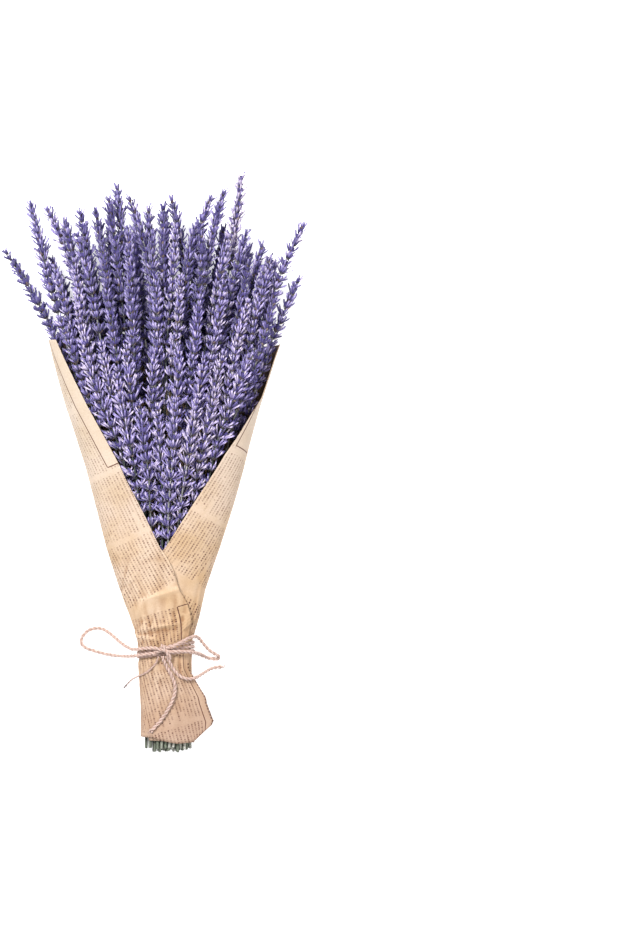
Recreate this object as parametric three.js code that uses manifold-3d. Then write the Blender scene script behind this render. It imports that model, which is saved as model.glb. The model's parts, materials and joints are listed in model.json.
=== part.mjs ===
// A bunch of dried lavender in a printed kraft paper wrap, tied at the waist with jute twine.
// It lies on its back. All sizes are in millimetres.
// x runs across the bunch, y runs along it towards the flowers and z points up from the surface.
// In the code, "along" is the distance from the cut ends of the stems, measured in the direction of y.

import * as THREE from "three";
import { mergeVertices } from "three/addons/utils/BufferGeometryUtils.js";
import Module from "manifold-3d";

const wasm = await Module();
wasm.setup();

// Driving dimensions
const ORIGIN_ALONG = 200;          // the origin lies this far from the cut ends, under the wrap
const TIE_ALONG = 75;              // the twine's place
const RIM_ALONG = 304;             // the wrap's open end
const FLAP_CROSSING_ALONG = 151;   // where the two front flaps meet
const PAPER_THICKNESS = 0.7;
const FLAP_STEP = 1.3;             // the outer flap lies this far outside the inner flap
const STEM_ROWS = [[100, 1.52], [170, 1.2]];   // along, stem radius: thicker towards the cut ends
const SHOOT_RADIUS = 1;
const CROWN_RADIUS = 4.9;          // a whorl of florets, from the stem to the floret tips
const CROWN_PITCH = 12.5;
const TWINE_DIAMETER = 2.2;

// The wrap's outline seen from above, and its depth.
// Each row: along, left edge, right edge, half depth, lift of the underside off the surface.
const WRAP_ROWS = [
  [0, -17.2, 23.4, 11.8, 0.8],
  [30, -16.8, 22.2, 11.5, 0.8],
  [50, -17.8, 21.4, 11, 1.2],
  [66, -18.6, 20.7, 10.5, 3.1],
  [84, -19, 21.6, 10.6, 3.1],
  [100, -24.8, 26.4, 12.4, 1.2],
  [120, -32.5, 30.8, 14.2, 0],
  [151, -42, 42, 17.4, 0],
  [210, -57, 60, 24, 0],
  [255, -71.5, 71.5, 28.5, 0],
  [306, -85, 87.5, 33, 0],
];

// How far each front flap reaches round, in degrees from the middle of the back: along, angle
const LEFT_FLAP_ROWS = [
  [0, 220], [36, 225], [50, 236], [75, 238], [95, 228], [110, 214], [120, 200],
  [151, 178.5], [200, 154], [250, 135], [306, 114],
];
const RIGHT_FLAP_ROWS = [
  [0, 220], [100, 220], [120, 205], [151, 178.8], [220, 143], [270, 112], [306, 94],
];

// The sheet's cut edges: angle round the wrap, along
const BOTTOM_EDGE = [[-220, 9], [-90, 7], [0, 9], [90, 12], [150, 10], [195, 4], [208, 6], [222, 21]];
const TOP_EDGE = [[-94, 302], [-60, 300], [0, 304], [60, 303], [90, 304.5], [114, 304.5]];

// How far the outer flap's loose lower corner stands out to the right: along, distance
const FLARE_ROWS = [[0, 19], [22, 19], [36, 13], [50, 5], [62, 0], [RIM_ALONG, 0]];
const FLARE_START = 190;           // the corner leaves the wrap at this angle
const FLARE_SPAN = 32;
const FLARE_LIMIT = 1.2;
const FLARE_POWER = 1.4;
const FLARE_DROP = 0.3;            // it also drops by this share

function between(rows, at, column = 1) {
  if (at <= rows[0][0]) return rows[0][column];
  for (let i = 1; i < rows.length; i += 1) {
    if (at <= rows[i][0]) {
      const share = (at - rows[i - 1][0]) / (rows[i][0] - rows[i - 1][0]);
      return rows[i - 1][column] * (1 - share) + rows[i][column] * share;
    }
  }
  return rows[rows.length - 1][column];
}

function wrapSection(along) {
  const left = between(WRAP_ROWS, along, 1);
  const right = between(WRAP_ROWS, along, 2);
  const halfDepth = between(WRAP_ROWS, along, 3);
  const lift = between(WRAP_ROWS, along, 4);
  const middle = (left + right) / 2;
  const halfWidth = (right - left) / 2;
  const centre = lift + halfDepth;
  return { middle, halfWidth, halfDepth, centre, lift };
}

// The wrap's section is a full ellipse that is pressed flat underneath
const SECTION_POWER = 2.3;
const FLAT_PRESS = 1.12;

function sectionPoint(along, angle) {
  const section = wrapSection(along);
  const turn = THREE.MathUtils.degToRad(angle);
  const across = Math.sign(Math.sin(turn)) * Math.abs(Math.sin(turn)) ** (2 / SECTION_POWER);
  const upright = -Math.sign(Math.cos(turn)) * Math.abs(Math.cos(turn)) ** (2 / SECTION_POWER);
  const pressed = upright < 0 ? Math.max(-1, upright * FLAT_PRESS) : upright;
  const x = section.middle - section.halfWidth * across;
  return new THREE.Vector2(x, section.centre + section.halfDepth * pressed);
}

function sectionOutward(along, angle) {
  const step = 1.5;
  const run = sectionPoint(along, angle + step).sub(sectionPoint(along, angle - step));
  return new THREE.Vector2(-run.y, run.x).normalize();
}

// Seeded draws, so that the bunch is the same each time
function makeDraw(seed) {
  let state = seed;
  return () => {
    state = (state * 1664525 + 1013904223) % 4294967296;
    return state / 4294967296;
  };
}

// The flower spikes whose tips make the bunch's outline, from left to right.
// Each row: tip x, tip along, x and along of a point lower on the stem, length of the spike.
const OUTLINE_SPIKES = [
  [-84, 311, -70, 270, 34],
  [-118, 372, -78, 303, 78],
  [-97, 406, -87, 362, 74],
  [-86, 403, -70, 370, 70],
  [-72, 394, -60, 350, 74],
  [-61, 400, -52, 355, 76],
  [-65, 384, -54, 330, 66],
  [-50, 402, -42, 352, 78],
  [-40, 410, -33, 360, 80],
  [-34, 419, -29, 370, 80],
  [-25, 411, -9.5, 365, 76],
  [-11, 403, -9, 350, 72],
  [0, 404, -1, 350, 70],
  [6, 410, 11, 390, 76],
  [24, 389, 17, 345, 72],
  [36, 410, 22, 368, 80],
  [45, 415, 35, 375, 74],
  [58, 426, 52, 382, 72],
  [62, 385, 50, 340, 68],
  [74, 376, 62, 330, 70],
  [79, 366, 68, 325, 66],
  [84, 350, 74, 310, 64],
  [104, 391, 81, 343, 80],
  [101, 351, 84, 313, 62],
];

// The rows of spikes in front of and behind them, from the front of the bunch to its back.
// Each row: place in the depth from 1 at the front to -1 at the back, number of spikes,
// first and last tip x, tip along in the middle and at the sides, length of the spikes,
// and how many side shoots each of its stems carries
const SPIKE_ROWS = [
  { depth: 0.94, count: 6, from: -36, to: 42, middle: 254, sides: 276, length: 88, shoots: 0 },
  { depth: 0.72, count: 8, from: -64, to: 70, middle: 298, sides: 296, length: 86, shoots: 1 },
  { depth: 0.5, count: 10, from: -80, to: 84, middle: 346, sides: 330, length: 84, shoots: 1 },
  { depth: 0.28, count: 10, from: -80, to: 84, middle: 386, sides: 360, length: 82, shoots: 1 },
  { depth: -0.34, count: 9, from: -84, to: 86, middle: 397, sides: 368, length: 78, shoots: 2 },
  { depth: -0.6, count: 9, from: -78, to: 80, middle: 374, sides: 348, length: 74, shoots: 2 },
  { depth: -0.88, count: 6, from: -52, to: 54, middle: 348, sides: 334, length: 68, shoots: 2 },
];
const ROWS_IN_FRONT = 4;
const OUTLINE_DEPTHS = [0.08, -0.12];   // the outline spikes lie in two staggered rows
const DEPTH_ROWS_AT_TIE = 9;
const TIP_SCATTER_ALONG = 16;
const TIP_SCATTER_ACROSS = 5;

// Lists every spike with the place of its tip, in the order of the depth rows
function listSpikes() {
  const draw = makeDraw(1207);
  const spikes = [];
  const addRow = (row) => {
    const middle = (row.count - 1) / 2;
    for (let i = 0; i < row.count; i += 1) {
      const share = row.count > 1 ? i / (row.count - 1) : 0.5;
      const side = Math.abs(i - middle) / middle;
      const arch = row.middle + (row.sides - row.middle) * side ** 2;
      const tipAlong = arch + (draw() - 0.5) * TIP_SCATTER_ALONG;
      const tipX = row.from + (row.to - row.from) * share + (draw() - 0.5) * TIP_SCATTER_ACROSS;
      const length = row.length * (0.94 + 0.12 * draw());
      const toParent = parentStep(row.shoots, i);
      const parent = spikes.length + toParent;
      const isShoot = toParent !== 0;
      spikes.push({ row, depth: row.depth, tipX, tipAlong, length, parent, isShoot, held: 0 });
    }
  };
  SPIKE_ROWS.slice(0, ROWS_IN_FRONT).forEach(addRow);
  OUTLINE_SPIKES.forEach(([tipX, tipAlong, viaX, viaAlong, length], i) => {
    const depth = OUTLINE_DEPTHS[i % 2];
    spikes.push({ row: depth, depth, tipX, tipAlong, viaX, viaAlong, length, isShoot: false, held: 1 });
  });
  SPIKE_ROWS.slice(ROWS_IN_FRONT).forEach(addRow);
  return spikes;
}

// Where a spike's stem stands in its row, counted from the spike: 0 where it has a stem of its own
function parentStep(shoots, place) {
  if (shoots === 1 && place % 2 === 1) return -1;
  if (shoots === 2 && place % 3 === 0) return 1;
  if (shoots === 2 && place % 3 === 2) return -1;
  return 0;
}

// Levels along the bunch at which the stems are pressed against each other
const LEVEL_STEP = 12.5;
const LEVEL_COUNT = 36;
const STEM_ROOM = 1.6;        // radius that a bare stem keeps free
const SPIKE_ROOM = 5.05;       // and a flower spike
const TIP_ROOM = 3.3;
const WALL_ROOM = PAPER_THICKNESS + 0.5;
const OPEN_BULGE = 9;          // the flowers may stand this much higher than the wrap where it is open

function roomAt(spike, along) {
  const base = spike.tipAlong - spike.length;
  if (along < base - 6) return STEM_ROOM;
  const toTip = Math.max(0, spike.tipAlong - along);
  return TIP_ROOM + (SPIKE_ROOM - TIP_ROOM) * Math.min(1, toTip / 26);
}

const BEND_POWER = 4;          // an outline stem bends mostly near its tip
const FAN_POWER = 1.1;         // the others bend hardly at all
const SPREAD_RATE = 1.5;       // the depth rows are fully apart at this share of a stem's length
const EDGE_ROOM_AT_TIE = 3;
const SHOOT_BELOW_SPIKE = 45;  // a side shoot leaves its stem this far below its own spike
const SHOOT_HIGHEST_ROOT = 215;
const DEPTH_GROWTH = 0.1;      // past the rim the bunch grows deeper by this share of the distance
const DEPTH_RISE = 0.04;       // and its middle rises by this share

// The way that each stem would take with no neighbours: from the tie, fanning out to the tip
function setCourses(spikes) {
  const mainRows = new Map();
  spikes.forEach((spike) => {
    if (!mainRows.has(spike.row)) mainRows.set(spike.row, []);
    if (!spike.isShoot) mainRows.get(spike.row).push(spike);
  });
  const rows = [...mainRows.values()];
  rows.forEach((row, rowNumber) => {
    const across = 1 - (2 * rowNumber + 1) / DEPTH_ROWS_AT_TIE;
    row.forEach((spike, i) => {
      spike.tieDepth = across;
      spike.tieAcross = ((2 * i + 1) / row.length - 1) * Math.sqrt(1 - across * across);
    });
  });
  spikes.forEach((spike) => {
    if (!spike.isShoot) return;
    const rootAlong = spike.tipAlong - spike.length - SHOOT_BELOW_SPIKE;
    spike.rootAlong = Math.min(rootAlong, SHOOT_HIGHEST_ROOT);
    spike.tieDepth = spikes[spike.parent].tieDepth;
    spike.tieAcross = spikes[spike.parent].tieAcross;
  });
  spikes.forEach((spike) => {
    spike.x = [];
    spike.z = [];
    spike.room = [];
    spike.wishX = [];
    spike.wishZ = [];
    for (let level = 0; level < LEVEL_COUNT; level += 1) {
      const along = level * LEVEL_STEP;
      const section = wrapSection(Math.min(along, RIM_ALONG));
      const tie = wrapSection(TIE_ALONG);
      const tieX = tie.middle + spike.tieAcross * (tie.halfWidth - EDGE_ROOM_AT_TIE);
      const grown = Math.max(0, along - RIM_ALONG);
      const halfDepth = section.halfDepth + DEPTH_GROWTH * grown - WALL_ROOM - STEM_ROOM;
      const share = (along - TIE_ALONG) / (spike.tipAlong - TIE_ALONG);
      let x = tieX;
      if (along <= TIE_ALONG) {
        x = section.middle + spike.tieAcross * (section.halfWidth - EDGE_ROOM_AT_TIE);
      } else if (spike.held) {
        const viaShare = (spike.viaAlong - TIE_ALONG) / (spike.tipAlong - TIE_ALONG);
        const straight = spike.tipX - tieX;
        const bend = (spike.viaX - tieX - straight * viaShare) / (viaShare ** BEND_POWER - viaShare);
        x = tieX + straight * share + bend * (share ** BEND_POWER - share);
      } else {
        x = tieX + (spike.tipX - tieX) * share ** FAN_POWER;
      }
      const spread = THREE.MathUtils.clamp(share * SPREAD_RATE, 0, 1);
      const depth = spike.tieDepth + (spike.depth - spike.tieDepth) * spread;
      spike.wishX.push(x);
      spike.wishZ.push(section.centre + DEPTH_RISE * grown + depth * halfDepth);
      spike.room.push(along > spike.tipAlong + 2 ? 0 : roomAt(spike, along));
    }
    for (let level = 1; level < LEVEL_COUNT - 1; level += 1) {
      const slope = (spike.wishX[level + 1] - spike.wishX[level - 1]) / (2 * LEVEL_STEP);
      spike.room[level] *= Math.sqrt(1 + slope * slope);
    }
    spike.x = [...spike.wishX];
    spike.z = [...spike.wishZ];
  });
}

// Presses the stems and spikes against each other and against the wrap until none overlap
const PRESS_ROUNDS = 400;
const FIRST_SWELL = 0.3;       // the rooms grow to full size over the first four fifths of the rounds
const SWELL_SHARE = 0.8;
const FIRST_PULL = 0.04;       // pull of the wished courses, which dies out
const STIFFNESS = [0.5, 0.08]; // in the first round and in the last
const OUTLINE_HOLD = 4;        // the outline spikes keep their places better than the others
const FUSED_LENGTH = 30;
const RIM_REACH = 8;           // the wrap still holds the flowers this far past its rim
const FLOOR_GAP = 0.4;

function pressTogether(spikes) {
  const count = spikes.length;
  for (let round = 0; round < PRESS_ROUNDS; round += 1) {
    const late = round / PRESS_ROUNDS;
    const swell = Math.min(1, FIRST_SWELL + late / SWELL_SHARE);
    const pull = FIRST_PULL * (1 - late) ** 2;
    const stiffness = STIFFNESS[0] + (STIFFNESS[1] - STIFFNESS[0]) * late;
    for (let level = 0; level < LEVEL_COUNT; level += 1) {
      const along = level * LEVEL_STEP;
      const pushX = new Array(count).fill(0);
      const pushZ = new Array(count).fill(0);
      for (let a = 0; a < count; a += 1) {
        if (!isThere(spikes[a], level)) continue;
        for (let b = a + 1; b < count; b += 1) {
          if (!isThere(spikes[b], level)) continue;
          if (areFused(spikes, a, b, along)) continue;
          const apartX = spikes[b].x[level] - spikes[a].x[level];
          const apartZ = spikes[b].z[level] - spikes[a].z[level];
          const distance = Math.sqrt(apartX * apartX + apartZ * apartZ) + 1e-6;
          const overlap = swell * (spikes[a].room[level] + spikes[b].room[level]) - distance;
          if (overlap <= 0) continue;
          const half = (overlap * 0.5) / distance;
          pushX[a] -= half * apartX;
          pushZ[a] -= half * apartZ;
          pushX[b] += half * apartX;
          pushZ[b] += half * apartZ;
        }
      }
      spikes.forEach((spike, i) => {
        const hold = spike.held && along > RIM_ALONG ? OUTLINE_HOLD : 1;
        const toWishX = spike.wishX[level] - spike.x[level];
        const toWishZ = spike.wishZ[level] - spike.z[level];
        spike.x[level] += (0.5 / Math.sqrt(hold)) * pushX[i] + pull * hold * toWishX;
        spike.z[level] += 0.5 * pushZ[i] + pull * 0.5 * toWishZ;
      });
    }
    spikes.forEach((spike) => {
      smooth(spike.x, spike.wishX, stiffness);
      smooth(spike.z, spike.wishZ, stiffness);
      keepInside(spike);
      spreadBelowTie(spike);
    });
    spikes.forEach((spike) => {
      if (spike.isShoot) followParent(spike, spikes[spike.parent]);
    });
  }
}

// A shoot isn't pressed away from its own stem, nor from its twin, until well past its root
function areFused(spikes, a, b, along) {
  const [first, second] = [spikes[a], spikes[b]];
  if (first.isShoot && first.parent === b) return along < first.rootAlong + FUSED_LENGTH;
  if (second.isShoot && second.parent === a) return along < second.rootAlong + FUSED_LENGTH;
  if (!first.isShoot || !second.isShoot || first.parent !== second.parent) return false;
  return along < Math.max(first.rootAlong, second.rootAlong) + FUSED_LENGTH;
}

function isThere(spike, level) {
  if (spike.room[level] === 0) return false;
  return !spike.isShoot || level * LEVEL_STEP > spike.rootAlong;
}

// Spreads a stem's departure from its wished course along its length, as a stiff stem does
function smooth(line, wish, stiffness) {
  const moved = line.map((value, i) => value - wish[i]);
  for (let i = 1; i < line.length - 1; i += 1) {
    line[i] += stiffness * ((moved[i - 1] + moved[i + 1]) / 2 - moved[i]);
  }
}

// How far a stem at x is clear of both front flaps, from 0 under a flap to 1 in the open
function openShare(x, along, room) {
  if (along < FLAP_CROSSING_ALONG) return 0;
  const left = sectionPoint(along, between(LEFT_FLAP_ROWS, along)).x;
  const right = sectionPoint(along, -between(RIGHT_FLAP_ROWS, along)).x;
  return THREE.MathUtils.clamp((Math.min(x - left, right - x) - room) / OPEN_BULGE, 0, 1);
}

function keepInside(spike) {
  for (let level = 0; level < LEVEL_COUNT; level += 1) {
    const along = level * LEVEL_STEP;
    const room = Math.max(STEM_ROOM, spike.room[level]);
    const section = wrapSection(Math.min(along, RIM_ALONG));
    const inWrap = along <= RIM_ALONG + RIM_REACH;
    const floor = (inWrap ? section.lift + WALL_ROOM : FLOOR_GAP) + room;
    spike.z[level] = Math.max(spike.z[level], floor);
    if (!inWrap) continue;
    const high = spike.z[level] > section.centre;
    const bulge = high ? OPEN_BULGE * openShare(spike.x[level], along, room) : 0;
    const roomX = section.halfWidth - WALL_ROOM - room;
    const roomZ = section.halfDepth + bulge - WALL_ROOM - room;
    const shareX = Math.abs(spike.x[level] - section.middle) / roomX;
    const shareZ = Math.abs(spike.z[level] - section.centre) / roomZ;
    const out = (shareX ** SECTION_POWER + shareZ ** SECTION_POWER) ** (1 / SECTION_POWER);
    if (out <= 1) continue;
    spike.x[level] = section.middle + (spike.x[level] - section.middle) / out;
    spike.z[level] = Math.max(floor, section.centre + (spike.z[level] - section.centre) / out);
  }
}

// Below the tie the stems keep the order that they have at the tie
function spreadBelowTie(spike) {
  const tie = wrapSection(TIE_ALONG);
  const tieLevel = TIE_ALONG / LEVEL_STEP;
  for (let level = 0; level < tieLevel; level += 1) {
    const section = wrapSection(level * LEVEL_STEP);
    const across = (spike.x[tieLevel] - tie.middle) / tie.halfWidth;
    const upright = (spike.z[tieLevel] - tie.centre) / tie.halfDepth;
    spike.x[level] = section.middle + across * section.halfWidth;
    spike.z[level] = section.centre + upright * section.halfDepth;
  }
}

function followParent(shoot, parent) {
  for (let level = 0; level < LEVEL_COUNT; level += 1) {
    const past = level * LEVEL_STEP - shoot.rootAlong;
    if (past > LEVEL_STEP * 2) continue;
    const own = THREE.MathUtils.clamp(past / (LEVEL_STEP * 2), 0, 1);
    shoot.x[level] = parent.x[level] + own * (shoot.x[level] - parent.x[level]);
    shoot.z[level] = parent.z[level] + own * (shoot.z[level] - parent.z[level]);
  }
}

// A point of a stem at any distance along, on a smooth line through its levels
function stemPoint(spike, along) {
  const at = THREE.MathUtils.clamp(along / LEVEL_STEP, 0, LEVEL_COUNT - 1.001);
  const i = Math.floor(at);
  const t = at - i;
  const curve = (line) => {
    const p1 = line[i];
    const p2 = line[i + 1];
    const p0 = i > 0 ? line[i - 1] : 2 * p1 - p2;
    const p3 = i + 2 < LEVEL_COUNT ? line[i + 2] : 2 * p2 - p1;
    return p1 + 0.5 * t * (p2 - p0 + t * (2 * p0 - 5 * p1 + 4 * p2 - p3 + t * (3 * (p1 - p2) + p3 - p0)));
  };
  return new THREE.Vector3(curve(spike.x), along - ORIGIN_ALONG, curve(spike.z));
}

function stemFrame(spike, along) {
  const centre = stemPoint(spike, along);
  const ahead = stemPoint(spike, along + 2).sub(stemPoint(spike, along - 2)).normalize();
  const side = new THREE.Vector3().crossVectors(ahead, new THREE.Vector3(0, 0, 1)).normalize();
  const up = new THREE.Vector3().crossVectors(side, ahead);
  return { centre, ahead, side, up };
}

// A ring of points round a stem: radius and lift along the stem are given for each point
function stemRing(spike, along, count, twist, radiusOf, liftOf) {
  const { centre, ahead, side, up } = stemFrame(spike, along);
  const ring = [];
  for (let i = 0; i < count; i += 1) {
    const turn = twist + (i / count) * 2 * Math.PI;
    ring.push(centre.clone()
      .addScaledVector(side, Math.cos(turn) * radiusOf(i))
      .addScaledVector(up, Math.sin(turn) * radiusOf(i))
      .addScaledVector(ahead, liftOf(i)));
  }
  return ring;
}

// Closes a stack of rings into one body.
// A ring has SIDES points, or twice that where it is a crown of florets.
const SIDES = 3;

function closeRings(rings, apex) {
  const points = [];
  const faces = [];
  const starts = rings.map((ring) => {
    points.push(...ring);
    return points.length - ring.length;
  });
  const first = starts[0];
  for (let i = 1; i + 1 < SIDES; i += 1) faces.push([first, first + i, first + i + 1]);
  for (let r = 0; r + 1 < rings.length; r += 1) {
    const low = rings[r].length;
    const high = rings[r + 1].length;
    const a = starts[r];
    const b = starts[r + 1];
    for (let i = 0; i < SIDES; i += 1) {
      const n = (i + 1) % SIDES;
      if (low === SIDES && high === SIDES) {
        faces.push([a + i, b + i, b + n], [a + i, b + n, a + n]);
      } else if (low === SIDES) {
        const tip = b + 2 * i + 1;
        const after = b + ((2 * i + 2) % (2 * SIDES));
        faces.push([a + i, b + 2 * i, tip], [a + i, tip, a + n], [a + n, tip, after]);
      } else {
        const tip = a + 2 * i + 1;
        const after = a + ((2 * i + 2) % (2 * SIDES));
        faces.push([a + 2 * i, b + i, tip], [b + i, b + n, tip], [tip, b + n, after]);
      }
    }
  }
  const last = starts[starts.length - 1];
  const size = rings[rings.length - 1].length;
  points.push(apex);
  for (let i = 0; i < size; i += 1) {
    faces.push([last + i, points.length - 1, last + ((i + 1) % size)]);
  }
  return meshOf(points, faces);
}

function meshOf(points, faces) {
  const geometry = new THREE.BufferGeometry();
  const places = points.flatMap((point) => [point.x, point.y, point.z]);
  geometry.setAttribute("position", new THREE.Float32BufferAttribute(places, 3));
  geometry.setIndex(faces.flat());
  return facingOut(geometry);
}

// Turns a closed mesh's faces outward where they point in
function facingOut(geometry) {
  const place = geometry.getAttribute("position");
  const index = geometry.getIndex().array;
  const corner = (i) => new THREE.Vector3().fromBufferAttribute(place, index[i]);
  let volume = 0;
  for (let i = 0; i < index.length; i += 3) {
    volume += corner(i).dot(corner(i + 1).cross(corner(i + 2))) / 6;
  }
  if (volume < 0) {
    for (let i = 0; i < index.length; i += 3) [index[i + 1], index[i + 2]] = [index[i + 2], index[i + 1]];
  }
  return geometry;
}

// One stem with its flower spike: the stem, then crowns of florets one above the other
const STEM_RINGS_ALONG = [37.5, 75, 87.5, 100, 125, 150, 187.5, 225, 262.5, 300, 337.5];
const RING_SPACE = 12;         // a stem ring stays this far from the cut end and from the spike
const CUT_SCATTER = 7;         // the stems are cut off within this distance of each other
const ROOT_DEPTH = 3;          // a side shoot starts this far inside its stem
const TOP_WHORL_SIZE = 0.62;   // the topmost whorl's size, as a share of the others
const FADING_WHORLS = 3;
const CROWN_LIFT = 0.26;       // places in a whorl, as shares of the distance between whorls
const FLORET_LIFT = 0.38;
const TIP_LIFT = 0.35;
const VALLEY_REACH = 0.45;     // how far a crown reaches between two florets

function spikeGeometry(spike, number) {
  const draw = makeDraw(500 + number);
  const twist = draw() * Math.PI;
  const cutAlong = spike.isShoot ? spike.rootAlong - ROOT_DEPTH : 1 + draw() * CUT_SCATTER;
  const base = spike.tipAlong - spike.length;
  const whorls = Math.max(3, Math.round(spike.length / CROWN_PITCH));
  const pitch = spike.length / (whorls + TIP_LIFT);
  const flat = () => 0;
  const plainRing = (along) => {
    const radius = spike.isShoot ? SHOOT_RADIUS : between(STEM_ROWS, along);
    return stemRing(spike, along, SIDES, twist, () => radius, flat);
  };
  const rings = [plainRing(cutAlong)];
  STEM_RINGS_ALONG.forEach((along) => {
    if (along > cutAlong + RING_SPACE && along < base - RING_SPACE) rings.push(plainRing(along));
  });
  for (let k = 0; k < whorls; k += 1) {
    const along = base + k * pitch;
    const fade = Math.min(1, TOP_WHORL_SIZE + (1 - TOP_WHORL_SIZE) * ((whorls - k) / FADING_WHORLS));
    const reach = CROWN_RADIUS * fade * (0.94 + 0.06 * draw());
    const isTip = (i) => i % 2 === k % 2;
    rings.push(plainRing(along));
    rings.push(stemRing(
      spike, along + CROWN_LIFT * pitch, 2 * SIDES, twist,
      (i) => (isTip(i) ? reach : reach * VALLEY_REACH),
      (i) => (isTip(i) ? FLORET_LIFT * pitch : 0),
    ));
  }
  return closeRings(rings, stemPoint(spike, spike.tipAlong));
}

function toSolid(geometry) {
  const bare = geometry.clone();
  bare.deleteAttribute("normal");
  bare.deleteAttribute("uv");
  const merged = mergeVertices(bare, 1e-4);
  const vertProperties = Float32Array.from(merged.getAttribute("position").array);
  const triVerts = Uint32Array.from(merged.getIndex().array);
  return new wasm.Manifold(new wasm.Mesh({ numProp: 3, vertProperties, triVerts }));
}

function fromSolid(solid) {
  const mesh = solid.getMesh();
  const geometry = new THREE.BufferGeometry();
  geometry.setAttribute("position", new THREE.Float32BufferAttribute(mesh.vertProperties, 3));
  geometry.setIndex(Array.from(mesh.triVerts));
  return geometry;
}

// The paper: one sheet, its left flap lapped over its right flap
const BACK_ANGLES = [0, 15, 28, 44, 60, 75];
const FLAP_STEPS = 7;
const LOWEST_PAPER_LEVEL = 10;
const PAPER_LEVELS = [24, 37, 50, 62, 75, 88, 104, 126, 151, 182, 218, 262];

function paperAngles(along) {
  const left = between(LEFT_FLAP_ROWS, along);
  const right = between(RIGHT_FLAP_ROWS, along);
  const start = BACK_ANGLES[BACK_ANGLES.length - 1];
  const flap = (edge, i) => start + ((edge - start) * (i + 1)) / FLAP_STEPS;
  const angles = [];
  for (let i = FLAP_STEPS - 1; i >= 0; i -= 1) angles.push(-flap(right, i));
  for (let i = BACK_ANGLES.length - 1; i > 0; i -= 1) angles.push(-BACK_ANGLES[i]);
  angles.push(...BACK_ANGLES);
  for (let i = 0; i < FLAP_STEPS; i += 1) angles.push(flap(left, i));
  return angles;
}

// How far the outer flap lies outside the inner flap, rising from nothing at the wrap's left side
const STEP_ANGLES = [88, 124];

function flapStep(angle) {
  return FLAP_STEP * THREE.MathUtils.smoothstep(angle, STEP_ANGLES[0], STEP_ANGLES[1]);
}

// A point of the sheet: inward is 0 on its outer face and the paper's thickness on its inner face
function paperPoint(level, along, angle, inward) {
  const point = sectionPoint(level, angle);
  point.addScaledVector(sectionOutward(level, angle), flapStep(angle) - inward);
  const loose = THREE.MathUtils.clamp((angle - FLARE_START) / FLARE_SPAN, 0, FLARE_LIMIT);
  const flare = between(FLARE_ROWS, level) * loose ** FLARE_POWER;
  return new THREE.Vector3(point.x + flare, along - ORIGIN_ALONG, point.y - FLARE_DROP * flare);
}

function paperGeometry() {
  const levels = [LOWEST_PAPER_LEVEL, ...PAPER_LEVELS, RIM_ALONG];
  const outer = [];
  const inner = [];
  levels.forEach((level, r) => {
    paperAngles(level).forEach((angle) => {
      let along = level;
      if (r === 0) along = between(BOTTOM_EDGE, angle);
      if (r === levels.length - 1) along = between(TOP_EDGE, angle);
      outer.push(paperPoint(level, along, angle, 0));
      inner.push(paperPoint(level, along, angle, PAPER_THICKNESS));
    });
  });
  const columns = outer.length / levels.length;
  const faces = [];
  const other = outer.length;
  const addQuad = (a, b, c, d) => faces.push([a, b, c], [a, c, d]);
  for (let r = 0; r + 1 < levels.length; r += 1) {
    for (let c = 0; c + 1 < columns; c += 1) {
      const at = r * columns + c;
      addQuad(at, at + columns, at + columns + 1, at + 1);
      addQuad(other + at, other + at + 1, other + at + columns + 1, other + at + columns);
    }
  }
  for (let c = 0; c + 1 < columns; c += 1) {
    const top = (levels.length - 1) * columns + c;
    addQuad(c, c + 1, other + c + 1, other + c);
    addQuad(top + 1, top, other + top, other + top + 1);
  }
  for (let r = 0; r + 1 < levels.length; r += 1) {
    const start = r * columns;
    const end = start + columns - 1;
    addQuad(start + columns, start, other + start, other + start + columns);
    addQuad(end, end + columns, other + end + columns, other + end);
  }
  return meshOf([...outer, ...inner], faces);
}

// The turns of twine round the waist: three strands that lie side by side, a little askew
const TURN_COUNT = 3;
const TURN_STATIONS = 26;
const TURN_SKEW = 0.17;        // rise of the turns to the right, per millimetre across
const TURN_CLEARANCE = 0.7;
const LAST_STEP_ANGLES = [262, 300];   // past the outer flap's edge the turns come back to the wrap
const STRAND_EDGE = 0.5;       // height of the grooves beside a strand, in diameters

function turnsGeometry() {
  const points = [];
  const faces = [];
  const width = TURN_COUNT * TWINE_DIAMETER;
  const profile = [[-width / 2, 0], [width / 2, 0]];
  for (let i = 2 * TURN_COUNT; i >= 0; i -= 1) {
    const high = i % 2 === 1 ? TWINE_DIAMETER : TWINE_DIAMETER * STRAND_EDGE;
    profile.push([-width / 2 + (i * width) / (2 * TURN_COUNT), high]);
  }
  for (let s = 0; s < TURN_STATIONS; s += 1) {
    const angle = (s / TURN_STATIONS) * 360;
    const past = THREE.MathUtils.smoothstep(angle, LAST_STEP_ANGLES[0], LAST_STEP_ANGLES[1]);
    const step = flapStep(angle) * (1 - past);
    const lean = sectionPoint(TIE_ALONG, angle).x * TURN_SKEW;
    profile.forEach(([offset, high]) => {
      const along = TIE_ALONG + lean + offset;
      const point = sectionPoint(TIE_ALONG, angle);
      point.addScaledVector(sectionOutward(TIE_ALONG, angle), step + TURN_CLEARANCE + high);
      points.push(new THREE.Vector3(point.x, along - ORIGIN_ALONG, point.y));
    });
  }
  const size = profile.length;
  for (let s = 0; s < TURN_STATIONS; s += 1) {
    for (let i = 0; i < size; i += 1) {
      const a = s * size + i;
      const b = s * size + ((i + 1) % size);
      const next = ((s + 1) % TURN_STATIONS) * size;
      const c = next + ((i + 1) % size);
      const d = next + i;
      faces.push([a, b, c], [a, c, d]);
    }
  }
  return meshOf(points, faces);
}

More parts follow.
